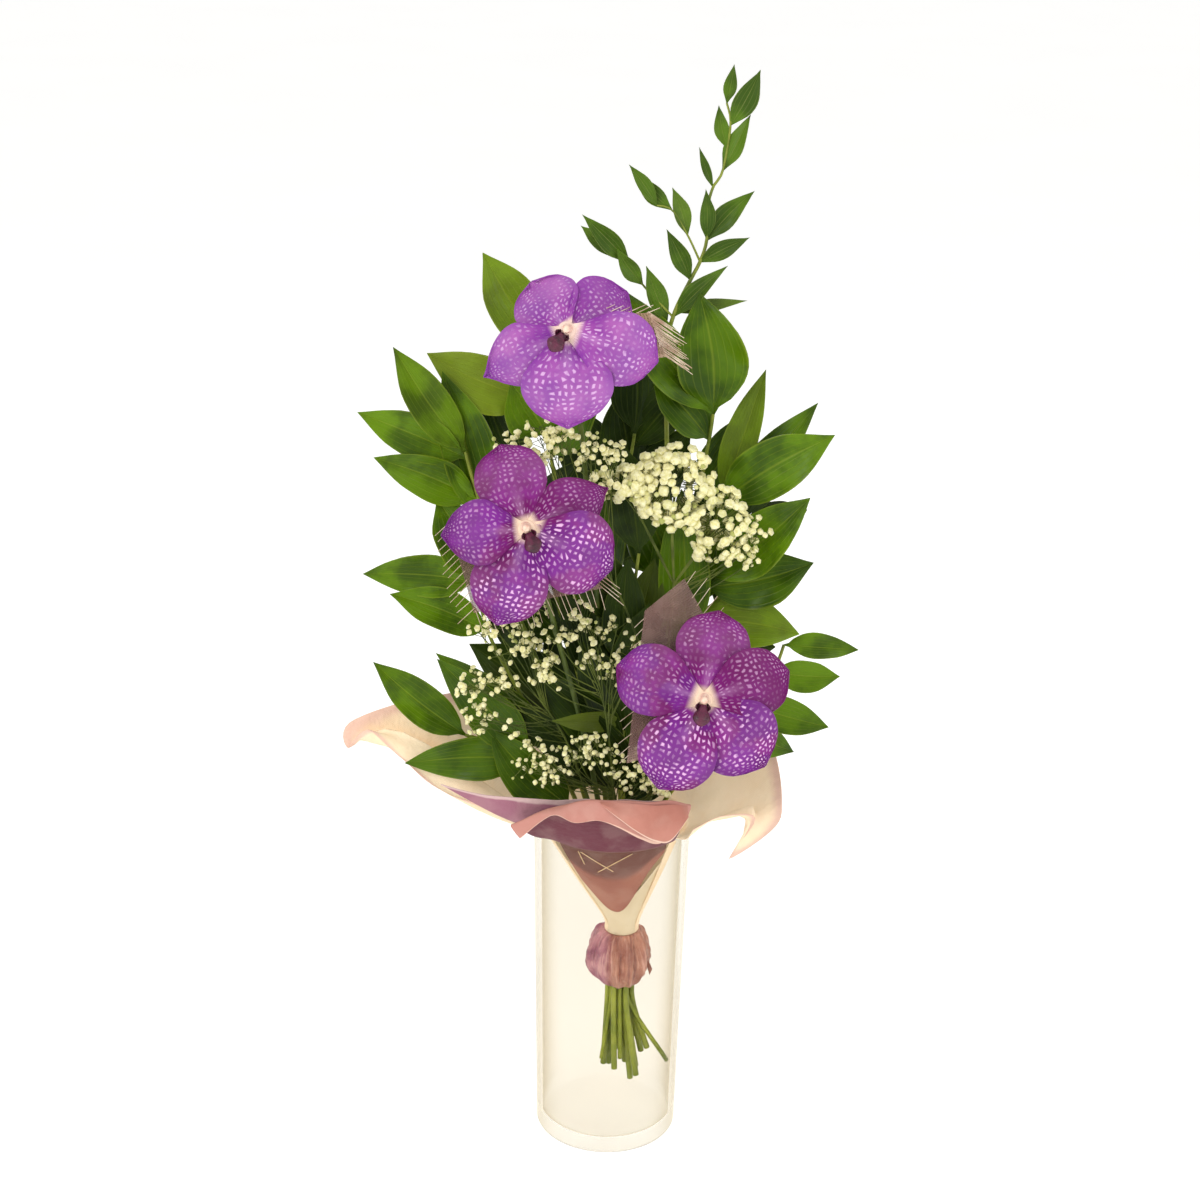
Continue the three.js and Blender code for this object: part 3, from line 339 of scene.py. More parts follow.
# a leaf: its place on the path, tip x, y, z, width, roll in degrees, and its tone from 0, deep
# green, to 1, olive, which is drawn for the leaves behind
RUSCUS_STEMS = [
    {
        "name": "ruscus_left_low", "slot": (2, 180), "cut": 46, "shaded": False,
        "path": [(-12, -5, 218), (-30, -10, 262), (-60, -12, 300), (-85, -13, 312), (-105, -14, 318)],
        "leaves": [
            (2, -147, -22, 299, 32, 10, 0.1), (4, -169, -15, 372, 29, -10, 0.5),
            (2, -124, -19, 377, 34, 12, 0.0), (1, -88, -17, 324, 36, 5, 0.0),
        ],
    },
    {
        "name": "ruscus_left_middle", "slot": (1, 180), "cut": 58, "shaded": False,
        "path": [
            (-10, 2, 215), (-26, 3, 260), (-44, 2, 300),
            (-68, 3, 345), (-90, 0, 391), (-98, 0, 430),
        ],
        "leaves": [
            (2, -127, 10, 370, 32, 15, 0.2), (4, -157, -13, 422, 29, -12, 0.35),
            (4.9, -176, -6, 434, 30, 10, 0.5), (5, -126, 4, 486, 40, -15, 0.2),
            (1.2, -18, -3, 338, 38, 12, 0.0),
        ],
    },
    {
        "name": "ruscus_left_high", "slot": (2, 150), "cut": 42, "shaded": False,
        "path": [
            (-10, 10, 225), (-30, 14, 290), (-58, 16, 370),
            (-82, 13, 430), (-97, 5, 485), (-106, 2, 521),
        ],
        "leaves": [
            (5, -154, 0, 593, 30, -10, 0.55), (4.8, -178, -5, 549, 31, 12, 0.5),
            (4, -167, -10, 519, 31, 10, 0.5), (3.7, -122, 12, 574, 38, -12, 0.3),
            (3, -58, 8, 506, 40, 10, 0.2), (0.7, -36, 28, 350, 44, -10, 0.0),
        ],
    },
    {
        "name": "ruscus_top_left", "slot": (1, 120), "cut": 55, "shaded": False,
        "path": [
            (-3, 18, 240), (-14, 26, 320), (-32, 30, 420),
            (-48, 29, 510), (-57, 26, 552), (-53, 20, 590),
        ],
        "leaves": [
            (5, -95, 15, 655, 38, -8, 0.65), (4, -133, 22, 584, 38, 12, 0.75),
            (4.6, -22, 22, 636, 30, -12, 0.2), (3, -12, 20, 572, 38, 15, 0.1),
            (1.8, 0, 24, 498, 38, 8, 0.2), (3.3, -76, 12, 568, 40, 6, 0.3),
        ],
    },
    {
        "name": "ruscus_top", "slot": (0, 0), "cut": 48, "shaded": False,
        "path": [(9, 13, 230), (20, 20, 310), (40, 20, 420), (54, 14, 490), (60, 6, 532), (62, 3, 551)],
        "leaves": [
            (5, 50, 5, 633, 48, 8, 0.2), (4, 20, 10, 573, 32, -14, 0.1), (3, 88, 22, 548, 28, 10, 0.1),
            (2, 6, 26, 496, 44, 10, 0.3), (1.8, 84, 30, 478, 36, -10, 0.1),
            (1, -12, 30, 398, 48, 12, 0.0), (5, 0, 22, 630, 34, 8, 0.3),
        ],
    },
    {
        "name": "ruscus_right_high", "slot": (1, 60), "cut": 52, "shaded": False,
        "path": [(18, 6, 230), (29, 7, 300), (47, 8, 380), (60, 8, 440), (70, 6, 491)],
        "leaves": [
            (4, 97, 12, 580, 25, 20, 0.65), (3.9, 144, -5, 540, 40, -8, 0.35),
            (3.6, 134, 18, 556, 28, 14, 0.3), (2, 24, 4, 456, 36, -12, 0.45),
            (0.8, 12, 0, 372, 44, 10, 0.0),
        ],
    },
    {
        "name": "ruscus_right_middle", "slot": (1, 0), "cut": 44, "shaded": False,
        "path": [(21, -3, 235), (31, -6, 300), (42, -7, 360), (52, -6, 404), (62, -4, 436)],
        "leaves": [
            (4, 129, -14, 498, 40, 10, 0.4), (3.7, 135, 0, 447, 38, -10, 0.1),
            (3, 127, -8, 397, 38, 12, 0.65), (2.6, 42, -6, 500, 36, 10, 0.2),
        ],
    },
    {
        "name": "ruscus_right_low", "slot": (2, 0), "cut": 60, "shaded": False,
        "path": [
            (27, -3, 238), (42, -9, 276), (68, -13, 310),
            (92, -12, 345), (110, -8, 368), (117, -6, 388),
        ],
        "leaves": [
            (5, 170, 0, 383, 20, 25, 0.5), (4, 157, -8, 366, 23, -10, 0.45),
            (3, 151, -10, 328, 26, 10, 0.4), (2.6, 128, -4, 306, 24, -20, 0.3),
            (2, 44, -17, 372, 26, -10, 0.1),
        ],
    },
    {
        "name": "ruscus_middle", "slot": (1, 300), "cut": 38, "shaded": True,
        "path": [(9, -6, 240), (6, -9, 320), (9, -11, 400), (14, -11, 455)],
        "leaves": [
            (3, 0, -8, 532, 36, 0, 0.4), (2, -40, -9, 470, 36, -10, 0.3),
            (1, -41, -15, 348, 12, 0, 0.9), (1.2, 34, -16, 404, 28, 12, 0.3),
            (1.7, 25, -6, 450, 30, -8, 0.7), (0.5, -76, -13, 342, 34, 8, 0.1),
            (0.8, -56, -27, 372, 36, 10, 0.2), (1, -26, -28, 396, 36, -6, 0.1),
            (0.5, -22, -30, 350, 38, 8, 0.2), (1.4, 22, -25, 424, 32, 10, 0.3),
            (0.4, 40, -14, 308, 26, 0, 0.1), (1.3, -40, -14, 428, 38, 6, 0.1),
            (1.5, -20, -13, 436, 36, -8, 0.2), (1.6, 6, -15, 452, 32, -6, 0.2),
            (1.1, -43, -63, 351, 15, 10, 0.9),
        ],
    },
    {
        "name": "ruscus_back_left", "slot": (2, 120), "cut": 50, "shaded": True,
        "path": [(-2, 26, 240), (-18, 40, 310), (-38, 50, 380), (-56, 55, 440), (-68, 54, 486)],
        "leaves": [
            (4, -96, 50, 552, 36, 160), (3.6, -124, 50, 500, 32, 200), (3, -108, 58, 446, 34, 170),
            (2.8, -28, 62, 500, 44, 190), (2, -98, 60, 392, 46, 165), (1, -106, 50, 362, 48, 195),
            (0.5, -52, 62, 366, 46, 175), (1.8, -112, 38, 430, 44, 170),
        ],
    },
    {
        "name": "ruscus_back_middle", "slot": (2, 90), "cut": 56, "shaded": True,
        "path": [(6, 28, 245), (4, 46, 320), (0, 58, 400), (4, 62, 470), (10, 60, 520)],
        "leaves": [
            (4, 6, 54, 592, 38, 180), (3.7, 52, 56, 562, 34, 165), (3, -40, 74, 538, 44, 165),
            (2.3, 44, 78, 460, 46, 170), (1.6, -44, 74, 410, 48, 190), (0.9, 40, 68, 376, 48, 190),
            (2.6, 50, 66, 524, 46, 165), (3.2, -4, 70, 544, 40, 190), (0.3, -14, 74, 316, 44, 180),
        ],
    },
    {
        "name": "ruscus_back_right", "slot": (2, 30), "cut": 53, "shaded": True,
        "path": [(23, 13, 240), (38, 30, 305), (60, 44, 365), (78, 48, 420), (90, 46, 464)],
        "leaves": [
            (4, 112, 36, 526, 34, 165), (3.6, 132, 36, 474, 32, 195), (3, 126, 48, 420, 34, 170),
            (2.6, 62, 60, 500, 44, 190), (2, 116, 52, 364, 40, 165), (1, 90, 46, 330, 40, 190),
        ],
    },
]



def stem_foot(slot, cut):
    """A stem's cut end and its straight run through the tie, in its place in the bundle."""
    ring, degrees = slot
    outward = ring * STEM_PITCH
    if ring == 2 and degrees % 60:
        outward *= math.cos(math.pi / 6)
    x = outward * math.cos(math.radians(degrees))
    y = outward * math.sin(math.radians(degrees))
    foot = [(BUNDLE_X + SPLAY_SHIFT + SPLAY * x, SPLAY * y, cut)]
    return foot + [(BUNDLE_X + x, y, height) for height in BUNDLE_HEIGHTS]


def along_points(points, place):
    """A smooth curve through values or vectors, at a place counted in points."""
    first = min(max(int(place), 0), len(points) - 2)
    share = place - first
    last = len(points) - 1
    before, start = points[max(first - 1, 0)], points[first]
    end, after = points[first + 1], points[min(first + 2, last)]
    bend = 2 * before - 5 * start + 4 * end - after
    twist = 3 * (start - end) + after - before
    return start + 0.5 * share * (end - before + share * (bend + share * twist))


def width_at(outline, share):
    """A leaf's or tepal's width at a share of its length, through its (length, width) points."""
    for index in range(len(outline) - 1):
        start, end = outline[index][0], outline[index + 1][0]
        if share <= end:
            local = (share - start) / (end - start)
            return max(0.0, along_points([width for _, width in outline], index + local))
    return outline[-1][1]


def new_shape():
    """An empty shape, to be filled with points in millimetres."""
    return {"points": [], "faces": [], "uvs": []}


def add_sheet(shape, rows, thickness, uv_at=None):
    """Adds a closed sheet of even thickness around rows of points."""
    count, across = len(rows), len(rows[0])
    start = len(shape["points"])
    for side in (0.5, -0.5):
        for row in range(count):
            for column in range(across):
                along = rows[min(row + 1, count - 1)][column] - rows[max(row - 1, 0)][column]
                over = rows[row][min(column + 1, across - 1)] - rows[row][max(column - 1, 0)]
                lift = over.cross(along).normalized() * (side * thickness)
                shape["points"].append(rows[row][column] + lift)
                if uv_at:
                    shape["uvs"].append(uv_at(row, column))
                else:
                    shape["uvs"].append((column / (across - 1), row / (count - 1)))
    under = count * across

    def at(row, column):
        return start + row * across + column

    def wall(a, b):
        shape["faces"].append((a, a + under, b + under, b))

    for row in range(count - 1):
        for column in range(across - 1):
            a, b = at(row, column), at(row, column + 1)
            c, d = at(row + 1, column + 1), at(row + 1, column)
            shape["faces"] += [(a, b, c, d), (a + under, d + under, c + under, b + under)]
    for column in range(across - 1):
        wall(at(0, column), at(0, column + 1))
        wall(at(count - 1, column + 1), at(count - 1, column))
    for row in range(count - 1):
        wall(at(row + 1, 0), at(row, 0))
        wall(at(row, across - 1), at(row + 1, across - 1))


def shape_object(name, shape, finish, sharp_angle=60):
    """A finished piece from a shape."""
    return mesh_object(name, shape["points"], shape["faces"], finish, shape["uvs"], sharp_angle)


# a blade's thickness as a share of its width
BLADE_THICK = 0.018


def blade_form(name, collection, outline, rows, columns, curl, sway, ripple):
    """One leaf of unit length and width: along +Y, facing +Z, its midrib sunk between its halves."""
    shape = new_shape()
    grid = []
    for row in range(rows + 1):
        share = row / rows
        line = []
        for column in range(columns + 1):
            side = 2 * column / columns - 1
            half = width_at(outline, share) / 2
            edge = abs(side) * half
            lift = 0.28 * (edge - half / 2) + curl * 4 * share * (1 - share)
            lift += ripple * math.sin(9 * share + 2 * side) * edge + 0.25 * sway * side * half
            bend = sway * math.sin(math.pi * share) * 0.16
            line.append(Vector((side * half + bend, share, lift)) / MM)
        grid.append(line)
    add_sheet(shape, grid, BLADE_THICK / MM)
    blade = shape_object(name, shape, None, 80)
    bpy.context.collection.objects.unlink(blade)
    collection.objects.link(blade)


def stem_tree():
    """A stem along each drawn line of a plan, and a blade at each of its marked points."""
    tree = bpy.data.node_groups.new("stem_with_blades", "GeometryNodeTree")
    sockets = (
        ("Plan", "Geometry"), ("Blade Forms", "Collection"), ("Blade Finish", "Material"),
        ("Stem Finish", "Material"), ("Stem Sides", "Int"), ("Step Length", "Float"),
    )
    for title, kind in sockets:
        tree.interface.new_socket(name=title, in_out="INPUT", socket_type=f"NodeSocket{kind}")
    tree.interface.new_socket(name="Spray", in_out="OUTPUT", socket_type="NodeSocketGeometry")
    given = add_node(tree, "NodeGroupInput").outputs
    result = add_node(tree, "NodeGroupOutput")

    def step(kind, links, **settings):
        node = add_node(tree, kind, **settings)
        for socket, source in links.items():
            feed(tree, node.inputs[socket], source)
        return node.outputs[0]

    def marked(name, kind):
        return step("GeometryNodeInputNamedAttribute", {"Name": name}, data_type=kind)

    line = step("GeometryNodeMeshToCurve", {"Mesh": given["Plan"]})
    line = step("GeometryNodeCurveSplineType", {"Curve": line}, spline_type="CATMULL_ROM")
    line = step(
        "GeometryNodeResampleCurve", {"Curve": line, "Length": given["Step Length"]}, mode="LENGTH"
    )
    section = step(
        "GeometryNodeCurvePrimitiveCircle", {"Resolution": given["Stem Sides"], "Radius": 1.0}
    )
    stems = step(
        "GeometryNodeCurveToMesh",
        {"Curve": line, "Profile Curve": section, "Scale": marked("girth", "FLOAT"), "Fill Caps": True},
    )
    forms = step(
        "GeometryNodeCollectionInfo",
        {"Collection": given["Blade Forms"], "Separate Children": True, "Reset Children": True},
    )
    turn = step("FunctionNodeEulerToRotation", {"Euler": marked("turn", "FLOAT_VECTOR")})
    blades = step(
        "GeometryNodeInstanceOnPoints",
        {
            "Points": given["Plan"], "Selection": marked("blade", "BOOLEAN"), "Instance": forms,
            "Pick Instance": True, "Instance Index": marked("form", "INT"), "Rotation": turn,
            "Scale": marked("reach", "FLOAT_VECTOR"),
        },
    )
    join = add_node(tree, "GeometryNodeJoinGeometry")
    tree.links.new(blades, join.inputs[0])
    tree.links.new(stems, join.inputs[0])
    whole = step("GeometryNodeSetShadeSmooth", {"Geometry": join.outputs[0]})
    whole = step("GeometryNodeRealizeInstances", {"Geometry": whole})
    whole = step("GeometryNodeSetMaterial", {"Geometry": whole, "Material": given["Stem Finish"]})
    whole = step(
        "GeometryNodeSetMaterial",
        {"Geometry": whole, "Selection": marked("blade", "BOOLEAN"), "Material": given["Blade Finish"]},
    )
    tree.links.new(whole, result.inputs["Spray"])
    return tree


stem_with_blades = stem_tree()


def new_plan():
    """An empty plan of a spray: the lines its stems follow, and its blades."""
    return {"rods": [], "blades": []}


def add_rod(plan, points, start_radius, end_radius):
    """Marks one stem along its points, tapered from its start to its end."""
    plan["rods"].append(([Vector(point) for point in points], start_radius, end_radius))


def add_blade(plan, root, along, facing, reach, form, tone):
    """Marks one blade: where it grows, which way it runs and faces, its size and its form."""
    away = along.normalized()
    front = (facing - facing.dot(away) * away).normalized()
    turn = turned_matrix(away.cross(front), away, front).to_euler()
    plan["blades"].append((Vector(root), turn, reach, form, tone))


def grow(name, plan, forms, blade_finish, stem_finish, sides=8, step_length=6):
    """Grows a plan's stems and blades and gives back one plain mesh."""
    points, edges, girth = [], [], []
    for path, start_radius, end_radius in plan["rods"]:
        first = len(points)
        edges += [(first + index, first + index + 1) for index in range(len(path) - 1)]
        for index, point in enumerate(path):
            share = index / (len(path) - 1)
            points.append(point * MM)
            girth.append((start_radius + (end_radius - start_radius) * share) * MM)
    stem_points = len(points)
    points += [root * MM for root, *_ in plan["blades"]]
    mesh = bpy.data.meshes.new(name)
    mesh.from_pydata(points, edges, [])
    marks = {
        "girth": ("FLOAT", girth + [0.0] * len(plan["blades"])),
        "blade": ("BOOLEAN", [False] * stem_points + [True] * len(plan["blades"])),
        "form": ("INT", [0] * stem_points + [form for *_, form, _ in plan["blades"]]),
        "tone": ("FLOAT", [0.5] * stem_points + [tone for *_, tone in plan["blades"]]),
    }
    for mark, (kind, values) in marks.items():
        mesh.attributes.new(mark, kind, "POINT").data.foreach_set("value", values)
    turns = [0.0] * 3 * stem_points + [angle for _, turn, *_ in plan["blades"] for angle in turn]
    reaches = [0.0] * 3 * stem_points
    reaches += [length * MM for _, _, reach, *_ in plan["blades"] for length in reach]
    mesh.attributes.new("turn", "FLOAT_VECTOR", "POINT").data.foreach_set("vector", turns)
    mesh.attributes.new("reach", "FLOAT_VECTOR", "POINT").data.foreach_set("vector", reaches)
    draft = bpy.data.objects.new(name + "_plan", mesh)
    bpy.context.collection.objects.link(draft)
    modifier = draft.modifiers.new("grown", "NODES")
    modifier.node_group = stem_with_blades
    values = {
        "Blade Forms": forms, "Blade Finish": blade_finish, "Stem Finish": stem_finish,
        "Stem Sides": sides, "Step Length": step_length * MM,
    }
    for item in stem_with_blades.interface.items_tree:
        if item.name in values:
            modifier[item.identifier] = values[item.name]
    graph = bpy.context.evaluated_depsgraph_get()
    grown = bpy.data.meshes.new_from_object(
        draft.evaluated_get(graph), preserve_all_data_layers=True, depsgraph=graph
    )
    bpy.data.objects.remove(draft)
    for mark in ("girth", "form", "turn", "reach", "blade"):
        if mark in grown.attributes:
            grown.attributes.remove(grown.attributes[mark])
    piece = bpy.data.objects.new(name, grown)
    bpy.context.collection.objects.link(piece)
    return piece


def leaf_group():
    """A blade's midrib and fine veins that run its whole length, from its own map."""
    tree = bpy.data.node_groups.new("leaf_veins", "ShaderNodeTree")
    tree.interface.new_socket(name="Veins", in_out="INPUT", socket_type="NodeSocketFloat")
    tree.interface.new_socket(name="Vein", in_out="OUTPUT", socket_type="NodeSocketFloat")
    tree.interface.new_socket(name="Midrib", in_out="OUTPUT", socket_type="NodeSocketFloat")
    tree.interface.new_socket(name="Edge", in_out="OUTPUT", socket_type="NodeSocketFloat")
    given = add_node(tree, "NodeGroupInput").outputs
    result = add_node(tree, "NodeGroupOutput").inputs
    chart = add_node(tree, "ShaderNodeUVMap", uv_map="UVMap")
    split = add_node(tree, "ShaderNodeSeparateXYZ")
    feed(tree, split.inputs[0], chart.outputs[0])
    from_rib = calc(tree, "ABSOLUTE", calc(tree, "SUBTRACT", split.outputs["X"], 0.5))
    wander = add_node(tree, "ShaderNodeTexNoise")
    feed(tree, wander.inputs["Vector"], chart.outputs[0])
    feed(tree, wander.inputs["Scale"], 3.0)
    shift = calc(tree, "MULTIPLY", wander.outputs["Fac"], 0.05)
    turns = calc(tree, "MULTIPLY", calc(tree, "ADD", from_rib, shift), given["Veins"])
    wave = calc(tree, "ABSOLUTE", calc(tree, "SINE", calc(tree, "MULTIPLY", turns, math.pi)))
    feed(tree, result["Vein"], ramp(tree, wave, 0.0, 0.45, 1.0, 0.0))
    feed(tree, result["Midrib"], ramp(tree, from_rib, 0.0, 0.035, 1.0, 0.0))
    feed(tree, result["Edge"], ramp(tree, from_rib, 0.46, 0.5))
    return tree


leaf_veins = leaf_group()


def leaf_finish(name, dark, light, olive, veins, gloss, rib_share=0.35):
    """A waxy leaf: uneven green, paler veins and midrib, older blades turned olive."""
    finish, tree, shader = new_finish(name, specular_ior_level=0.18)
    lines = add_node(tree, "ShaderNodeGroup", node_tree=leaf_veins)
    feed(tree, lines.inputs["Veins"], veins)
    age = add_node(tree, "ShaderNodeAttribute", attribute_name="tone")
    patches = ramp(tree, mottle(tree, 0.028), 0.0, 1.0, 0.16, 0.84)
    green = mix_paint(tree, patches, dark, light)
    green = mix_paint(tree, ramp(tree, age.outputs["Fac"], 0.45, 1.0), green, olive)
    deep = ramp(tree, age.outputs["Fac"], 0.0, 0.45, 0.55, 0.0)
    green = mix_paint(tree, deep, green, dark)
    vein_share = calc(tree, "MULTIPLY", lines.outputs["Vein"], 0.16)
    green = mix_paint(tree, vein_share, green, olive)
    rib_amount = calc(tree, "MULTIPLY", lines.outputs["Midrib"], rib_share)
    green = mix_paint(tree, rib_amount, green, olive)
    green = mix_paint(tree, calc(tree, "MULTIPLY", lines.outputs["Edge"], 0.4), green, olive)
    feed(tree, shader.inputs["Base Color"], green)
    sheen = ramp(tree, mottle(tree, 0.012), 0.0, 1.0, gloss, gloss + 0.16)
    feed(tree, shader.inputs["Roughness"], sheen)
    sunk_rib = calc(tree, "MULTIPLY", lines.outputs["Midrib"], -2.0)
    bumped(tree, shader, calc(tree, "ADD", lines.outputs["Vein"], sunk_rib), 0.00025, 0.6)
    return finish


def stem_finish_of(name, base, tip, gloss=0.45):
    """A smooth green stem, brighter where it is stripped bare below the tie."""
    finish, tree, shader = new_finish(name)
    place = add_node(tree, "ShaderNodeTexCoord")
    height = add_node(tree, "ShaderNodeSeparateXYZ")
    feed(tree, height.inputs[0], place.outputs["Object"])
    bare = mix_paint(tree, mottle(tree, 0.03), paint(92, 108, 18), paint(158, 166, 60))
    leafy = mix_paint(tree, mottle(tree, 0.018), base, tip)
    tone = mix_paint(tree, ramp(tree, height.outputs["Z"], 0.16, 0.22), bare, leafy)
    feed(tree, shader.inputs["Base Color"], tone)
    feed(tree, shader.inputs["Roughness"], ramp(tree, mottle(tree, 0.006), 0.0, 1.0, gloss, gloss + 0.2))
    bumped(tree, shader, mottle(tree, 0.0015), 0.0002, 0.5)
    return finish


ruscus_finish = leaf_finish(
    "ruscus_blade", paint(38, 64, 0), paint(102, 140, 0), paint(140, 158, 44), 9.0, 0.3
)
# the same blade in darker greens: painted shade for the stems that stand behind the blooms
shaded_finish = leaf_finish(
    "shaded_ruscus_blade", paint(22, 38, 0), paint(52, 74, 0), paint(94, 110, 30), 9.0, 0.38
)
stem_green = stem_finish_of("cut_stem", paint(92, 108, 18), paint(146, 156, 52))

RUSCUS_OUTLINE = [
    (0, 0.05), (0.05, 0.12), (0.13, 0.52), (0.25, 0.86), (0.38, 1), (0.54, 0.97), (0.7, 0.8),
    (0.84, 0.47), (0.93, 0.2), (1, 0.01),
]
ruscus_forms = bpy.data.collections.new("ruscus_forms")
blade_form("a_flat_blade", ruscus_forms, RUSCUS_OUTLINE, 16, 8, 0.13, 0.25, 0.1)
blade_form("b_swayed_blade", ruscus_forms, RUSCUS_OUTLINE, 16, 8, 0.16, -0.5, 0.16)
blade_form("c_rippled_blade", ruscus_forms, RUSCUS_OUTLINE, 16, 8, 0.1, 0.55, 0.24)

RUSCUS_FORMS = 3
RUSCUS_SEED = 5
ruscus_draw = random.Random(RUSCUS_SEED)
for stem in RUSCUS_STEMS:
    plan = new_plan()
    route = [Vector(point) for point in stem["path"]]
    stem_path = stem_foot(stem["slot"], stem["cut"]) + stem["path"]
    add_rod(plan, stem_path, STEM_RADIUS, RUSCUS_TIP_RADIUS)
    for place, x, y, z, width, roll, *tone in stem["leaves"]:
        root = along_points(route, place)
        along = Vector((x, y, z)) - root
        facing = toward_viewer.copy()
        facing.rotate(Matrix.Rotation(-math.radians(roll), 3, along.normalized()))
        shade = tone[0] if tone else ruscus_draw.uniform(0.1, 0.55)
        form = ruscus_draw.randrange(RUSCUS_FORMS)
        add_blade(plan, root, along, facing, (width, along.length, width), form, shade)
    blade_look = shaded_finish if stem["shaded"] else ruscus_finish
    spray = grow(stem["name"] + "_stem", plan, ruscus_forms, blade_look, stem_green)
    settle(spray, stem["name"])

# ---------- Soft ruscus sprig ----------
# The tallest stem: a thin arching sprig of soft ruscus with small pointed leaves and two
# side twigs.

SOFT_SLOT = (2, 60)
SOFT_CUT = 62
SOFT_SEED = 3
SOFT_FORMS = 2
SOFT_TIP_RADIUS = 0.7
SOFT_TWIG_GIRTH = (0.8, 0.5)
SOFT_PATH = [
    (16, 20, 240), (26, 30, 320), (34, 32, 420), (32, 28, 520), (29, 16, 585), (33, 12, 615),
    (44, 14, 640), (50, 16, 652), (54, 18, 666), (54, 20, 687), (57, 20, 701), (63, 20, 712),
    (67, 20, 742), (64, 20, 756),
]
SOFT_TWIGS = [
    [(50, 16, 652), (41, 15, 670), (30, 12, 687), (20, 10, 690)],
    [(33, 12, 615), (12, 10, 637), (3, 10, 651), (-9, 12, 655)],
]
# root x, y, z, tip x, y, z, width, roll
SOFT_LEAVES = [
    (64, 20, 756, 68, 20, 781, 9, 10), (67, 20, 742, 85, 18, 778, 16, -15),
    (65, 20, 727, 59, 24, 754, 10, 10), (63, 20, 712, 80, 20, 749, 14, 20),
    (57, 20, 701, 47, 22, 727, 6, 0), (54, 18, 667, 52, 12, 701, 11, -10),
    (54, 18, 666, 85, 26, 698, 15, 10), (50, 16, 652, 82, 10, 670, 13, -15),
    (44, 14, 640, 27, 12, 674, 13, 12), (41, 15, 670, 30, 16, 701, 12, -12),
    (30, 12, 687, 4, 18, 710, 12, 15), (20, 10, 690, 1, 6, 717, 10, -10),
    (3, 10, 651, -29, 4, 684, 14, 10), (-9, 12, 655, -30, 18, 674, 11, -15),
    (12, 10, 637, -6, 5, 662, 12, 8), (29, 14, 612, 14, 8, 650, 15, -10),
    (33, 12, 615, 68, 4, 652, 13, 15), (33, 12, 618, 83, 22, 625, 9, 0),
]
SMALL_OUTLINE = [(0, 0.08), (0.12, 0.42), (0.28, 0.86), (0.42, 1), (0.6, 0.86), (0.8, 0.45), (1, 0.01)]

soft_finish = leaf_finish(
    "soft_ruscus_blade", paint(46, 72, 8), paint(88, 122, 20), paint(150, 160, 84), 5.0, 0.32
)
soft_forms = bpy.data.collections.new("soft_forms")
blade_form("a_small_blade", soft_forms, SMALL_OUTLINE, 12, 6, 0.12, 0.3, 0.14)
blade_form("b_small_blade", soft_forms, SMALL_OUTLINE, 12, 6, 0.16, -0.45, 0.2)

plan = new_plan()
soft_draw = random.Random(SOFT_SEED)
add_rod(plan, stem_foot(SOFT_SLOT, SOFT_CUT) + SOFT_PATH, STEM_RADIUS, SOFT_TIP_RADIUS)
for twig in SOFT_TWIGS:
    add_rod(plan, twig, *SOFT_TWIG_GIRTH)
for rx, ry, rz, x, y, z, width, roll in SOFT_LEAVES:
    root = Vector((rx, ry, rz))
    along = Vector((x, y, z)) - root
    facing = toward_viewer.copy()
    facing.rotate(Matrix.Rotation(-math.radians(roll), 3, along.normalized()))
    form, shade = soft_draw.randrange(SOFT_FORMS), soft_draw.uniform(0.15, 0.6)
    add_blade(plan, root, along, facing, (width, along.length, width), form, shade)
soft_sprig = grow("soft_ruscus_twig", plan, soft_forms, soft_finish, stem_green, 8, 4)
settle(soft_sprig, "soft_ruscus_sprig")

# ---------- Vanda blooms ----------
# Three cut blooms that face the viewer. Each has five flat waxy tepals with a net of pale
# cells, a dark fleshy lip that hangs at the middle, and a short pale column above it.

# tepals: degrees, length, width, layer, tilt in degrees, and how far its end tapers
BLOOMS = [
    {
        "name": "bloom_top", "center": (-37, -60, 621), "slot": (1, 240), "cut": 64, "lip": 236,
        "tepals": [
            (126, 41, 46, 1, -22, 0.2), (36, 48, 46, 0, -20, 0.3), (-18, 62, 48, 1, 2, 0),
            (-88, 63, 60, 0, 3, 0.3), (210, 61, 42, 0, -3, 1),
        ],
        "stalk": [
            (-37, -45, 610), (-34, -32, 588), (-27, -24, 545), (-19, -20, 470), (-10, -17, 380),
            (-3, -14, 300), (1, -9, 230),
        ],
    },
    {
        "name": "bloom_middle", "center": (-61, -75, 492), "slot": (2, 240), "cut": 50, "lip": 294,
        "tepals": [
            (109, 58, 48, 0, -3, 0), (28, 60, 40, 1, -8, 1), (-24, 62, 56, 0, 3, 0),
            (254, 66, 52, 0, 2, 0.2), (186, 56, 44, 1, 4, 0.6),
        ],
        "stalk": [
            (-60, -60, 482), (-54, -46, 458), (-40, -36, 400), (-22, -28, 330), (-8, -20, 260),
            (0, -14, 212),
        ],
    },
    {
        "name": "bloom_low", "center": (58, -95, 382), "slot": (2, 300), "cut": 45, "lip": 262,
        "tepals": [
            (81, 60, 50, 0, -3, 0), (20, 60, 46, 1, -2, 0), (-46, 60, 56, 0, 2, 0.2),
            (-116, 66, 54, 0, 4, 0.1), (160, 62, 48, 1, 2, 0),
        ],
        "stalk": [(57, -80, 372), (48, -62, 350), (36, -42, 318), (26, -28, 280), (18, -18, 232)],
    },
]
TEPAL_OUTLINE = [
    (0, 0.18), (0.1, 0.3), (0.2, 0.5), (0.42, 0.87), (0.54, 0.97), (0.66, 1), (0.78, 0.92),
    (0.88, 0.78), (0.95, 0.56), (0.985, 0.34), (1, 0.12),
]
TAPERED_OUTLINE = [
    (0, 0.18), (0.1, 0.3), (0.2, 0.5), (0.42, 0.92), (0.54, 1), (0.66, 0.93), (0.78, 0.74),
    (0.88, 0.49), (0.95, 0.26), (0.985, 0.12), (1, 0.04),
]
TEPAL_THICK = 0.8
TEPAL_ROWS = 30
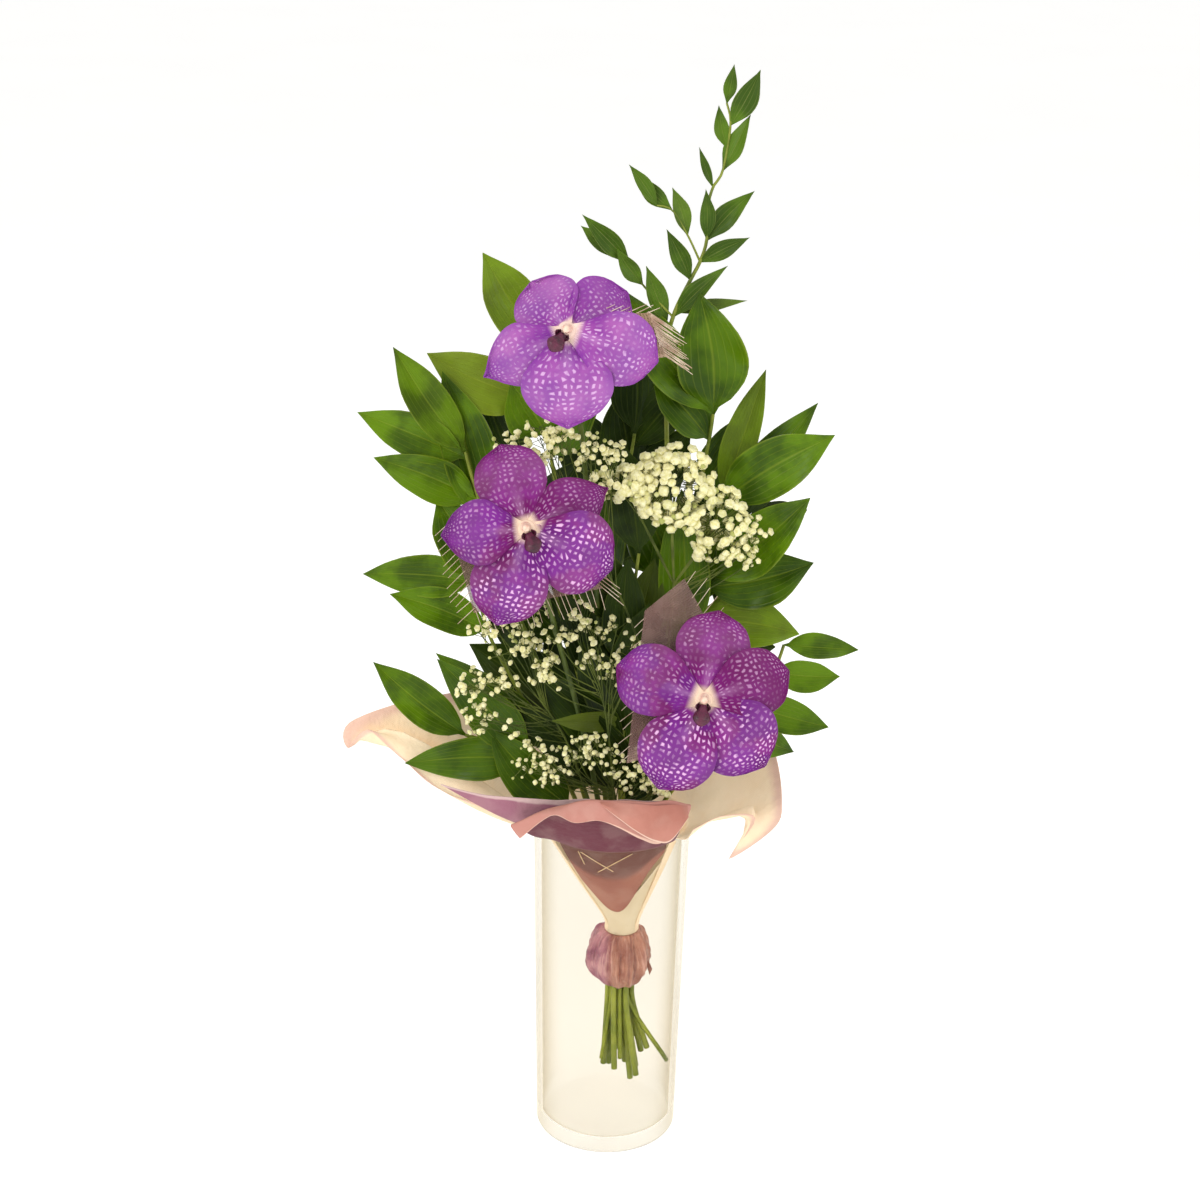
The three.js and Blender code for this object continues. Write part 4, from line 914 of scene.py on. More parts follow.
TEPAL_COLUMNS = 20
HUB_HALF = 2
HUB_PROFILE = [(-HUB_HALF, 4.2), (-1.2, 5.6), (0, 6), (1.2, 5.6), (HUB_HALF, 4.2)]
HUB_SIDES = 24
PIECE_GAP = 0.35
STALK_NECK = 5
STALK_TIP_RADIUS = 1.6
bloom_right = Vector((1, 0, 0))
bloom_up = Vector((0, math.sin(FACING_TILT), math.cos(FACING_TILT)))


def bloom_point(center, right, up, front):
    """A point given from a bloom's centre, as someone who looks at its face sees it."""
    return Vector(center) + right * bloom_right + up * bloom_up + front * toward_viewer


def tepal_rows(center, tepal, phase):
    """One tepal: cupped along its middle, waved at its edges, tipped back from the face."""
    degrees, length, width, layer, tilt, taper = tepal
    cosine, sine = math.cos(math.radians(degrees)), math.sin(math.radians(degrees))
    rise = math.tan(math.radians(tilt))
    rows = []
    for row in range(TEPAL_ROWS + 1):
        share = 0.03 + 0.97 * math.sin(0.5 * math.pi * row / TEPAL_ROWS) ** 0.9
        line = []
        for column in range(TEPAL_COLUMNS + 1):
            side = 1 - 2 * column / TEPAL_COLUMNS
            full, narrow = width_at(TEPAL_OUTLINE, share), width_at(TAPERED_OUTLINE, share)
            width_share = full + taper * (narrow - full)
            out = share * length - 0.05 * length * side * side * share
            sideways = side * width_share * width / 2
            cup = 2.4 * side * side * width_share - 1.6 * math.sin(math.pi * share)
            wave = 1.1 * math.sin(5 * share + 2 * side)
            ruffle = 0.9 * side * side * math.sin(11 * share + 2.5 * side + phase)
            rib = -0.5 * math.exp(-((side / 0.12) ** 2))
            lift = (layer - 0.5) * 1.2 + rise * out + (cup + wave + ruffle + rib) * min(1, share * 3)
            right, up = out * cosine + sideways * sine, out * sine - sideways * cosine
            line.append(bloom_point(center, right, up, lift))
        rows.append(line)
    return rows


def net_group():
    """The net of a vanda tepal: pale cells in rows between darker lines, from its own map."""
    tree = bpy.data.node_groups.new("tepal_net", "ShaderNodeTree")
    for title in ("Cells Across", "Cells Along"):
        tree.interface.new_socket(name=title, in_out="INPUT", socket_type="NodeSocketFloat")
    for title in ("Cell", "Along", "From Rib", "Number"):
        tree.interface.new_socket(name=title, in_out="OUTPUT", socket_type="NodeSocketFloat")
    given = add_node(tree, "NodeGroupInput").outputs
    result = add_node(tree, "NodeGroupOutput").inputs
    chart = add_node(tree, "ShaderNodeUVMap", uv_map="UVMap")
    split = add_node(tree, "ShaderNodeSeparateXYZ")
    feed(tree, split.inputs[0], chart.outputs[0])
    warp = add_node(tree, "ShaderNodeTexNoise")
    feed(tree, warp.inputs["Vector"], chart.outputs[0])
    feed(tree, warp.inputs["Scale"], 7.0)
    shift = calc(tree, "MULTIPLY", warp.outputs["Fac"], 0.9)
    grid = add_node(tree, "ShaderNodeCombineXYZ")
    for slot, axis in enumerate("XY"):
        turns = calc(tree, "MULTIPLY", split.outputs[axis], given[slot])
        feed(tree, grid.inputs[slot], calc(tree, "ADD", turns, shift))
    cells = add_node(
        tree, "ShaderNodeTexVoronoi", voronoi_dimensions="2D", feature="DISTANCE_TO_EDGE"
    )
    feed(tree, cells.inputs["Vector"], grid.outputs[0])
    feed(tree, cells.inputs["Scale"], 1.0)
    feed(tree, cells.inputs["Randomness"], 0.6)
    feed(tree, result["Cell"], ramp(tree, cells.outputs["Distance"], 0.19, 0.36))
    feed(tree, result["Along"], split.outputs["Y"])
    feed(tree, result["Number"], calc(tree, "FLOOR", split.outputs["X"]))
    across = calc(tree, "SUBTRACT", calc(tree, "FRACT", split.outputs["X"]), 0.5)
    feed(tree, result["From Rib"], calc(tree, "MULTIPLY", calc(tree, "ABSOLUTE", across), 2.0))
    return tree


tepal_net = net_group()


def tepal_finish(name, base, cell, edge, throat, spotting):
    """Waxy tepal: rows of pale spots on a deeper ground, strongest on the two lower tepals."""
    upper_spots, lower_spots, middle_glow, cool_cast = spotting
    finish, tree, shader = new_finish(name, specular_ior_level=0.15)
    net = add_node(tree, "ShaderNodeGroup", node_tree=tepal_net)
    feed(tree, net.inputs["Cells Across"], 13.0)
    feed(tree, net.inputs["Cells Along"], 19.0)
    cell_mask, along = net.outputs["Cell"], net.outputs["Along"]
    from_rib, number = net.outputs["From Rib"], net.outputs["Number"]
    ground = mix_paint(tree, mottle(tree, 0.02), base, edge)
    side = ramp(tree, from_rib, 0.62, 1.0)
    margin = calc(tree, "MAXIMUM", side, ramp(tree, along, 0.82, 1.0))
    ground = mix_paint(tree, calc(tree, "MULTIPLY", margin, 0.7), ground, edge)
    pale = mix_paint(tree, 0.35, ground, cell)
    fading = ramp(tree, along, 0.45, 0.85, 1.0, 0.0)
    glow = calc(tree, "MULTIPLY", ramp(tree, along, 0.1, 0.45), fading)
    ground = mix_paint(tree, calc(tree, "MULTIPLY", glow, middle_glow), ground, pale)
    from_second = calc(tree, "ABSOLUTE", calc(tree, "SUBTRACT", number, 1.0))
    turned = calc(tree, "LESS_THAN", from_second, 0.5)
    ground = mix_paint(tree, calc(tree, "MULTIPLY", turned, 0.55), ground, edge)
    patch = ramp(tree, mottle(tree, 0.011), 0.25, 0.75, 0.2, 1.0)
    from_lower = calc(tree, "ABSOLUTE", calc(tree, "SUBTRACT", number, 2.5))
    lower = calc(tree, "LESS_THAN", from_lower, 0.8)
    drift = ramp(tree, mottle(tree, 0.03), 0.3, 0.7)
    cool = calc(tree, "MULTIPLY", calc(tree, "GREATER_THAN", number, 1.5), drift)
    ground = mix_paint(tree, calc(tree, "MULTIPLY", cool, cool_cast), ground, paint(98, 44, 166))
    marked = ramp(tree, lower, 0.0, 1.0, upper_spots, lower_spots)
    inner = calc(tree, "SUBTRACT", 1.0, calc(tree, "MULTIPLY", margin, 0.8))
    shown = calc(tree, "MULTIPLY", inner, marked)
    strength = calc(tree, "MULTIPLY", calc(tree, "MULTIPLY", cell_mask, patch), shown)
    tone = mix_paint(tree, strength, ground, cell)
    root_share = ramp(tree, along, 0.1, 0.35, 1.0, 0.0)
    streak = calc(tree, "MULTIPLY", ramp(tree, from_rib, 0.0, 0.3, 0.16, 0.0), root_share)
    tone = mix_paint(tree, streak, tone, cell)
    tone = mix_paint(tree, ramp(tree, along, 0.02, 0.08, 0.95, 0.0), tone, throat)
    feed(tree, shader.inputs["Base Color"], tone)
    feed(tree, shader.inputs["Roughness"], ramp(tree, mottle(tree, 0.004), 0.0, 1.0, 0.42, 0.6))
    bumped(tree, shader, cell_mask, 0.0004, 0.5)
    return finish


# each finish: its ground, its spots, its edge and its throat, and then how strong the upper and the
# lower tepals' spots, the pale middle and the cool cast of the lower tepals are
violet_finish = tepal_finish(
    "violet_tepal", paint(164, 84, 168), paint(240, 202, 244), paint(128, 46, 150),
    paint(250, 222, 206), (0.45, 0.6, 0.3, 0.08),
)
purple_finish = tepal_finish(
    "purple_tepal", paint(130, 32, 132), paint(240, 192, 238), paint(102, 10, 88),
    paint(250, 222, 196), (0.38, 0.88, 0.2, 0.26),
)

lip_finish, tree, shader = new_finish("dark_lip", coat_weight=0.2)
lip_tone = mix_paint(tree, mottle(tree, 0.004), paint(52, 4, 30), paint(96, 22, 58))
feed(tree, shader.inputs["Base Color"], lip_tone)
feed(tree, shader.inputs["Roughness"], ramp(tree, mottle(tree, 0.002), 0.0, 1.0, 0.35, 0.55))
bumped(tree, shader, mottle(tree, 0.0012), 0.0003, 0.6)

column_finish, tree, shader = new_finish("pale_column", coat_weight=0.1)
column_tone = mix_paint(tree, mottle(tree, 0.003), paint(248, 222, 200), paint(232, 180, 160))
feed(tree, shader.inputs["Base Color"], column_tone)
feed(tree, shader.inputs["Roughness"], ramp(tree, mottle(tree, 0.002), 0.0, 1.0, 0.35, 0.5))
bumped(tree, shader, mottle(tree, 0.001), 0.0002, 0.4)

stalk_green = stem_finish_of("bloom_stalk", paint(54, 72, 10), paint(88, 104, 30))

# the lip from its waist to its tip: how far out, half its width, half its thickness
LIP_ROWS = [
    (3, 2.6, 2), (5, 3, 2.3), (7, 3.8, 2.5), (9, 5, 2.8), (11, 5.8, 2.9), (12.5, 5.9, 2.8),
    (14, 5.2, 2.5), (15.5, 3.9, 2), (16.8, 2.2, 1.4), (17.4, 0.9, 0.8),
]
LIP_SIDES = 24
EAR_STEPS = 6
EAR_THICK = 0.7
# the column from its foot up: height and radius
COLUMN_ROWS = [
    (0.3, 3.3), (1.4, 2.9), (3, 2.3), (4.6, 2.1), (5.6, 2.5), (6.4, 2.3), (7, 1.3), (7.2, 0.3),
]
COLUMN_SIDES = 20


def capped_shape(rings, sides):
    """A closed shape from rings of points, its two ends filled."""
    shape = new_shape()
    shape["points"] = [point for ring in rings for point in ring]
    shape["faces"] = ring_faces(len(rings), sides)
    shape["faces"].append(tuple(range(sides))[::-1])
    shape["faces"].append(tuple(range((len(rings) - 1) * sides, len(rings) * sides)))
    shape["uvs"] = [(0.5, 0.5)] * len(shape["points"])
    return shape


def lip_shape(center, degrees):
    """A ridged tongue that widens from a narrow waist, with two small ears at its root."""
    cosine, sine = math.cos(math.radians(degrees)), math.sin(math.radians(degrees))
    rings = []
    for step in range(4 * (len(LIP_ROWS) - 1) + 1):
        out, half, thick = (along_points(values, step / 4) for values in zip(*LIP_ROWS))
        ring = []
        for side in range(LIP_SIDES):
            angle = 2 * math.pi * side / LIP_SIDES
            ridge = 1 + 0.16 * math.cos(3 * angle) * (1 if math.sin(angle) > 0 else 0.3)
            sideways = half * math.cos(angle)
            rise = 0.42 * (out - LIP_ROWS[0][0])
            lift = HUB_HALF + PIECE_GAP + thick + rise + thick * ridge * math.sin(angle)
            right, up = out * cosine - sideways * sine, out * sine + sideways * cosine
            ring.append(bloom_point(center, right, up, lift))
        rings.append(ring)
    shape = capped_shape(rings, LIP_SIDES)
    for ear in (-1, 1):
        rows = []
        for row in range(EAR_STEPS + 1):
            rise = row / EAR_STEPS
            line = []
            for column in range(EAR_STEPS + 1):
                share = column / EAR_STEPS
                out = 2 + 5.5 * share
                sideways = ear * (2.6 + 2.4 * math.sin(math.pi * share) * rise)
                lift = HUB_HALF + 0.6 + 5.5 * rise * math.sin(math.pi * (0.15 + 0.7 * share))
                right, up = out * cosine - sideways * sine, out * sine + sideways * cosine
                line.append(bloom_point(center, right, up, lift))
            rows.append(line if ear > 0 else line[::-1])
        add_sheet(shape, rows, EAR_THICK)
    return shape


def column_shape(center, degrees):
    """The column: a short stout stub with a rounded cap."""
    cosine, sine = math.cos(math.radians(degrees + 180)), math.sin(math.radians(degrees + 180))
    rings = []
    for height, radius in COLUMN_ROWS:
        shift = 1.5 - 0.27 * height
        ring = []
        for side in range(COLUMN_SIDES):
            angle = 2 * math.pi * side / COLUMN_SIDES
            right = shift * cosine + radius * math.cos(angle)
            up = shift * sine + radius * math.sin(angle)
            ring.append(bloom_point(center, right, up, HUB_HALF + PIECE_GAP + height))
        rings.append(ring)
    return capped_shape(rings, COLUMN_SIDES)


def hub_shape(center):
    """The solid middle of the flower, where its five tepals grow together."""
    rings = []
    for lift, radius in HUB_PROFILE:
        ring = []
        for side in range(HUB_SIDES):
            angle = 2 * math.pi * side / HUB_SIDES
            ring.append(bloom_point(center, radius * math.cos(angle), radius * math.sin(angle), lift))
        rings.append(ring)
    return capped_shape(rings, HUB_SIDES)


def tepal_chart(number):
    """A tepal's own map: its number and the place across it in X, the place along it in Y."""

    def chart_at(row, column):
        return number + 0.5 + 0.48 * (1 - 2 * column / TEPAL_COLUMNS), row / TEPAL_ROWS

    return chart_at


for bloom in BLOOMS:
    center, name = bloom["center"], bloom["name"]
    petals = new_shape()
    for number, tepal in enumerate(bloom["tepals"]):
        rows = tepal_rows(center, tepal, 1.7 * number)
        add_sheet(petals, rows, TEPAL_THICK, tepal_chart(number))
    hub = hub_shape(center)
    offset = len(petals["points"])
    petals["points"] += hub["points"]
    petals["faces"] += [tuple(corner + offset for corner in face) for face in hub["faces"]]
    petals["uvs"] += [(0.5, 0.02)] * len(hub["points"])
    is_top = name == "bloom_top"
    flower = shape_object(name + "_flower", petals, violet_finish if is_top else purple_finish)
    settle(flower, name + "_tepals")
    lip = shape_object(name + "_dark_lip", lip_shape(center, bloom["lip"]), lip_finish)
    settle(lip, name + "_lip")
    column = shape_object(name + "_pale_column", column_shape(center, bloom["lip"]), column_finish)
    settle(column, name + "_column")
    plan = new_plan()
    neck = bloom_point(center, 0, 0, -HUB_HALF - STALK_NECK)
    top = bloom_point(center, 0, 0, -HUB_HALF - PIECE_GAP)
    stalk_path = stem_foot(bloom["slot"], bloom["cut"]) + bloom["stalk"][::-1] + [neck, top]
    add_rod(plan, stalk_path, STEM_RADIUS, STALK_TIP_RADIUS)
    stalk = grow(name + "_green_stalk", plan, None, stalk_green, stalk_green)
    settle(stalk, name + "_stalk")

# ---------- Baby's breath ----------
# Three sprays of gypsophila: a wiry stem that forks again and again, each hair-thin stalk
# ending in a small ruffled white floret or a round bud.

# A cluster leaves the trunk, 0, or a branch by its number, at a place along it:
# [twig, place, centre, reach, groups, florets in a group, floret radius].
# A dense head stands on its fork: [fork, centre, reach, florets, radius].
BREATH_SPRAYS = [
    {
        "name": "babys_breath_high", "slot": (2, 330), "foot": (46, -3, 51), "seed": 14,
        "trunk": [(23, -12, 240), (29, -22, 330), (36, -28, 400), (38, -30, 440)],
        "branches": [[(31, -24, 350), (2, -32, 430), (-32, -36, 488)]],
        "clusters": [
            (1, 2, (-58, -36, 537), (28, 8, 16), 12, 8, 2.6),
            (1, 1.6, (-14, -36, 534), (17, 8, 15), 7, 7, 2.5),
            (0, 3, (88, -30, 474), (15, 8, 24), 8, 7, 2.6),
        ],
        "heads": [
            ((38, -30, 440), (2, -32, 511), (25, 10, 13), 70, 3.4),
            ((38, -30, 440), (34, -32, 509), (30, 11, 30), 170, 3.8),
            ((38, -30, 440), (66, -31, 483), (22, 10, 29), 110, 3.6),
        ],
    },
    {
        "name": "babys_breath_left", "slot": (2, 210), "foot": (-4, -8, 55), "seed": 23,
        "trunk": [(-5, -8, 222), (-17, -15, 270), (-34, -22, 320), (-52, -28, 352)],
        "branches": [],
        "clusters": [
            (0, 3, (-70, -34, 402), (34, 8, 30), 13, 8, 2.3),
            (0, 2.6, (-88, -34, 362), (24, 8, 24), 9, 7, 2.3),
            (0, 2.4, (-86, -34, 335), (20, 8, 16), 5, 6, 2.2),
        ],
        "heads": [],
    },
    {
        "name": "babys_breath_low", "slot": (2, 270), "foot": (10, -13, 58), "seed": 37,
        "trunk": [(8, -17, 232), (4, -28, 266), (0, -38, 290)],
        "branches": [[(0, -38, 290), (-4, -40, 330), (-10, -40, 368)]],
        "clusters": [
            (0, 2, (-30, -50, 316), (46, 8, 21), 20, 8, 2.0),
            (0, 1.4, (22, -54, 310), (28, 7, 17), 12, 8, 2.0),
            (1, 2, (-36, -40, 396), (36, 8, 34), 14, 8, 2.3),
            (1, 1.5, (6, -40, 398), (24, 8, 28), 9, 7, 2.3),
        ],
        "heads": [],
    },
]


def floret_form(name, rings, lobes, frill):
    """One floret of unit radius, opening along +Y: (radius, height) rings closed at both ends."""
    sides = 2 * lobes
    points, faces = [], []
    for index, (radius, height) in enumerate(rings):
        for side in range(sides):
            angle = 2 * math.pi * side / sides
            lobe = 1 + frill * math.cos(lobes * angle) * index / len(rings)
            lift = height + 0.3 * frill * math.cos(lobes * angle + 2.0 * index)
            across, over = radius * lobe * math.cos(angle), -radius * lobe * math.sin(angle)
            points.append(Vector((across, lift, over)) / MM)
    faces = ring_faces(len(rings), sides)
    faces.append(tuple(range(sides))[::-1])
    faces.append(tuple(range((len(rings) - 1) * sides, len(rings) * sides)))
    floret = mesh_object(name, points, faces, None, [(0.5, 0.5)] * len(points), 80)
    bpy.context.collection.objects.unlink(floret)
    breath_forms.objects.link(floret)


breath_forms = bpy.data.collections.new("breath_forms")
OPEN_FLORET = [(0.16, -0.75), (0.5, -0.4), (1.0, 0.1), (0.82, 0.42), (0.36, 0.3)]
FULL_FLORET = [(0.16, -0.8), (0.66, -0.45), (0.98, 0.05), (0.74, 0.5), (0.26, 0.68)]
ROUND_BUD = [(0.12, -0.6), (0.46, -0.3), (0.55, 0.05), (0.4, 0.38), (0.12, 0.52)]
floret_form("a_open_floret", OPEN_FLORET, 5, 0.16)
floret_form("b_full_floret", FULL_FLORET, 4, 0.14)
floret_form("c_round_bud", ROUND_BUD, 3, 0.1)
BUD_FORM = 2
BUD_SHARE = 0.22
HEAD_TWIGS = 9
# how thick each part of a spray is where it starts and where it ends
TRUNK_GIRTH = (1.8, 0.9)
BRANCH_GIRTH = (0.9, 0.6)
HEAD_TWIG_GIRTH = (0.7, 0.45)
TWIG_GIRTH = (0.42, 0.3)
HAIR_GIRTH = (0.24, 0.2)

breath_finish, tree, shader = new_finish("breath_floret", sheen_weight=0.2)
age = add_node(tree, "ShaderNodeAttribute", attribute_name="tone")
breath_tone = mix_paint(tree, mottle(tree, 0.0022), paint(230, 224, 150), paint(252, 248, 204))
unopened = ramp(tree, age.outputs["Fac"], 0.55, 1.0)
breath_tone = mix_paint(tree, unopened, breath_tone, paint(176, 182, 96))
feed(tree, shader.inputs["Base Color"], breath_tone)
feed(tree, shader.inputs["Roughness"], ramp(tree, mottle(tree, 0.001), 0.0, 1.0, 0.7, 0.9))
bumped(tree, shader, mottle(tree, 0.0009), 0.0003, 0.7)
breath_green = stem_finish_of("breath_stalk", paint(58, 72, 14), paint(104, 116, 40), 0.7)


def egg_point(draw, center, reach, least):
    """A drawn place in an egg, at least so far out from its middle."""
    height, turn = draw.uniform(-1, 1), draw.uniform(0, 2 * math.pi)
    ring = math.sqrt(1 - height * height)
    depth = draw.uniform(least, 1) ** (1 / 3)
    out = Vector((ring * math.cos(turn), ring * math.sin(turn), height))
    return Vector(center) + depth * Vector(tuple(size * part for size, part in zip(reach, out)))


def add_floret(plan, draw, root, floret, radius):
    """A hair-thin stalk with a floret or a bud on its end."""
    middle = root.lerp(floret, 0.5) + Vector((0, draw.uniform(-1, 1), draw.uniform(-1.5, 0)))
    add_rod(plan, [root, middle, floret], *HAIR_GIRTH)
    along = (floret - root).normalized() + Vector((0, -0.5, 0.35))
    size = radius * draw.uniform(0.8, 1.15)
    bud = draw.random() < BUD_SHARE
    form = BUD_FORM if bud else draw.randrange(BUD_FORM)
    shade = draw.uniform(0.6, 1) if bud else draw.uniform(0, 0.7)
    facing = Vector((draw.uniform(-1, 1), 0.2, 1))
    add_blade(plan, floret, along, facing, (size, size, size), form, shade)


for spray in BREATH_SPRAYS:
    draw = random.Random(spray["seed"])
    plan = new_plan()
    foot = [spray["foot"]] + stem_foot(spray["slot"], 0)[1:]
    add_rod(plan, foot + spray["trunk"], *TRUNK_GIRTH)
    lines = [[Vector(point) for point in line] for line in [spray["trunk"]] + spray["branches"]]
    for branch in spray["branches"]:
        add_rod(plan, branch, *BRANCH_GIRTH)
    for twig, place, center, reach, groups, florets, radius in spray["clusters"]:
        for group in range(groups):
            fork = along_points(lines[twig], place - 0.6 * group / groups)
            heart = egg_point(draw, center, [0.85 * size for size in reach], 0.1)
            sway = Vector((draw.uniform(-4, 4), draw.uniform(-2, 2), draw.uniform(-6, 0)))
            knee = fork.lerp(heart, 0.55) + sway
            add_rod(plan, [fork, knee, heart], *TWIG_GIRTH)
            for _ in range(florets):
                root = along_points([fork, knee, heart], draw.uniform(1.6, 2.0))
                floret = egg_point(draw, heart, (10, 6, 9), 0.3)
                add_floret(plan, draw, root, floret, radius)
    for fork, center, reach, florets, radius in spray["heads"]:
        fork, middle = Vector(fork), Vector(center)
        taken = []
        for _ in range(HEAD_TWIGS):
            inner = egg_point(draw, center, [0.4 * size for size in reach], 0.2)
            add_rod(plan, [fork, fork.lerp(middle, 0.6), inner], *HEAD_TWIG_GIRTH)
        while len(taken) < florets:
            floret = egg_point(draw, center, reach, 0.2)
            spacing = 0.95 * radius * draw.uniform(0.6, 1)
            if all((floret - other).length > spacing for other in taken):
                taken.append(floret)
                add_floret(plan, draw, middle.lerp(floret, 0.4), floret, radius)
    cloud = grow(spray["name"] + "_spray", plan, breath_forms, breath_finish, breath_green, 4, 5)
    settle(cloud, spray["name"])

# ---------- Frayed fibre collars ----------
# Behind each bloom, threaded on its stalk, an open-weave square of natural fibre whose
# cross threads are pulled out, which leaves a comb of straight threads at its edges.

# corners as (right, up) from the bloom's centre, frayed edges as (from corner, to corner, thread
# right, thread up, count), the square's flat size in metres and its threads' thickness
COLLARS = [
    {
        "bloom": 0, "depth": -14, "corners": [(-12, 12), (54, 14), (64, -14), (-6, -28)],
        "edges": [(1, 2, 20, -13, 30), (0, 1, 13, 6, 10)],
        "cloth": (0.062, 0.036), "thick": 0.4,
    },
    {
        "bloom": 1, "depth": -12, "corners": [(-52, 6), (22, 26), (50, -38), (-34, -56)],
        "edges": [(0, 3, -12, -12, 13), (2, 3, 6, -16, 20), (1, 2, 17, -13, 20)],
        "cloth": (0.08, 0.068), "thick": 0.3,
    },
    {
        "bloom": 2, "depth": -12, "corners": [(-40, 58), (-14, 80), (40, -16), (-50, -44)],
        "edges": [(1, 2, 9, 12, 14), (0, 3, -9, -8, 13)],
        "cloth": (0.06, 0.1), "thick": 0.24,
    },
]
FIBRE_THICK = 0.4
FIBRE_SEED = 11
THREAD_TIP_RADIUS = 0.2
COLLAR_STEPS = 20


def weave_group():
    """Open plain weave: how much thread covers a spot, and which thread lies on top."""
    tree = bpy.data.node_groups.new("open_weave", "ShaderNodeTree")
    for title in ("Threads Across", "Threads Along", "Gap"):
        tree.interface.new_socket(name=title, in_out="INPUT", socket_type="NodeSocketFloat")
    for title in ("Cover", "Height"):
        tree.interface.new_socket(name=title, in_out="OUTPUT", socket_type="NodeSocketFloat")
    given = add_node(tree, "NodeGroupInput").outputs
    result = add_node(tree, "NodeGroupOutput").inputs
    chart = add_node(tree, "ShaderNodeUVMap", uv_map="UVMap")
    split = add_node(tree, "ShaderNodeSeparateXYZ")
    feed(tree, split.inputs[0], chart.outputs[0])
    ridges = []
    for axis, count in (("X", given[0]), ("Y", given[1])):
        wander = add_node(tree, "ShaderNodeTexNoise")
        feed(tree, wander.inputs["Vector"], chart.outputs[0])
        feed(tree, wander.inputs["Scale"], 9.0)
        turns = calc(tree, "MULTIPLY", split.outputs[axis], count)
        turns = calc(tree, "ADD", turns, calc(tree, "MULTIPLY", wander.outputs["Fac"], 0.8))
        wave = calc(tree, "SINE", calc(tree, "MULTIPLY", turns, math.pi))
        ridges.append(calc(tree, "ABSOLUTE", wave))
    top = calc(tree, "MAXIMUM", *ridges)
    feed(tree, result["Cover"], ramp(tree, top, given[2], calc(tree, "ADD", given[2], 0.1)))
    feed(tree, result["Height"], top)
    return tree


open_weave = weave_group()


def cloth_finish(name, main, bands, threads, gap, cover, gloss, glow=0.0):
    """A sheer woven cloth: its threads each way, bands of colour along it, light through its gaps, a
    painted highlight on its threads' tops and, where glow is given, a painted glow.
    """
    finish, tree, shader = new_finish(name, specular_ior_level=0.2, emission_strength=glow)
    weave = add_node(tree, "ShaderNodeGroup", node_tree=open_weave)
    feed(tree, weave.inputs["Threads Across"], threads[0])
    feed(tree, weave.inputs["Threads Along"], threads[1])
    feed(tree, weave.inputs["Gap"], gap)
    chart = add_node(tree, "ShaderNodeUVMap", uv_map="UVMap")
    split = add_node(tree, "ShaderNodeSeparateXYZ")
    feed(tree, split.inputs[0], chart.outputs[0])
    tone = mix_paint(tree, mottle(tree, 0.03), main[0], main[1])
    drift = calc(tree, "MULTIPLY", calc(tree, "SUBTRACT", mottle(tree, 0.04), 0.5), 0.02)
    place = calc(tree, "ADD", split.outputs["Y"], drift)
    for start, end, colour in bands:
        tone = mix_paint(tree, ramp(tree, place, start, end), tone, colour)
    # painted highlight: the tops of the threads are painted paler, as if they caught the light
    thread_highlight = calc(tree, "MULTIPLY", ramp(tree, weave.outputs["Height"], 0.6, 1.0), 0.05)
    tone = mix_paint(tree, thread_highlight, tone, paint(255, 248, 236))
    soft = ramp(tree, mottle(tree, 0.02), 0.3, 1.0, 0.0, 0.14)
    tone = mix_paint(tree, soft, tone, mix_paint(tree, 0.5, tone, paint(255, 236, 220)))
    feed(tree, shader.inputs["Base Color"], tone)
    # painted glow: the cloth gives off a faint light in its own colour, for light shining through it
    feed(tree, shader.inputs["Emission Color"], tone)
    feed(tree, shader.inputs["Alpha"], ramp(tree, weave.outputs["Cover"], 0.0, 1.0, *cover))
    feed(tree, shader.inputs["Roughness"], ramp(tree, mottle(tree, 0.02), 0.0, 1.0, gloss, gloss + 0.2))
    thread_height = calc(tree, "MULTIPLY", weave.outputs["Height"], 0.2)
    bumped(tree, shader, calc(tree, "ADD", thread_height, mottle(tree, 0.009)), 0.0011, 0.5)
    return finish


tan_cloth = cloth_finish(
    "tan_fibre_cloth", (paint(150, 118, 92), paint(186, 152, 120)),
    [(0.9, 0.97, paint(206, 174, 142))], (34, 30), 0.62, (0.2, 1.0), 0.6,
)
smoky_cloth = cloth_finish(
    "smoky_fibre_cloth", (paint(104, 72, 70), paint(134, 98, 92)),
    [(0.9, 0.97, paint(150, 116, 106))], (70, 64), 0.5, (0.3, 0.62), 0.6,
)
fibre_thread, tree, shader = new_finish("fibre_thread", sheen_weight=0.2)
thread_tone = mix_paint(tree, mottle(tree, 0.01), paint(190, 156, 130), paint(244, 226, 202))
feed(tree, shader.inputs["Base Color"], thread_tone)
feed(tree, shader.inputs["Roughness"], ramp(tree, mottle(tree, 0.003), 0.0, 1.0, 0.5, 0.75))
bumped(tree, shader, mottle(tree, 0.0006), 0.0001, 0.4)


def collar_spot(collar, right, up, front=0.0):
    """A point in the plane of a collar, behind its bloom."""
    center = BLOOMS[collar["bloom"]]["center"]
    return bloom_point(center, right, up, collar["depth"] + front)


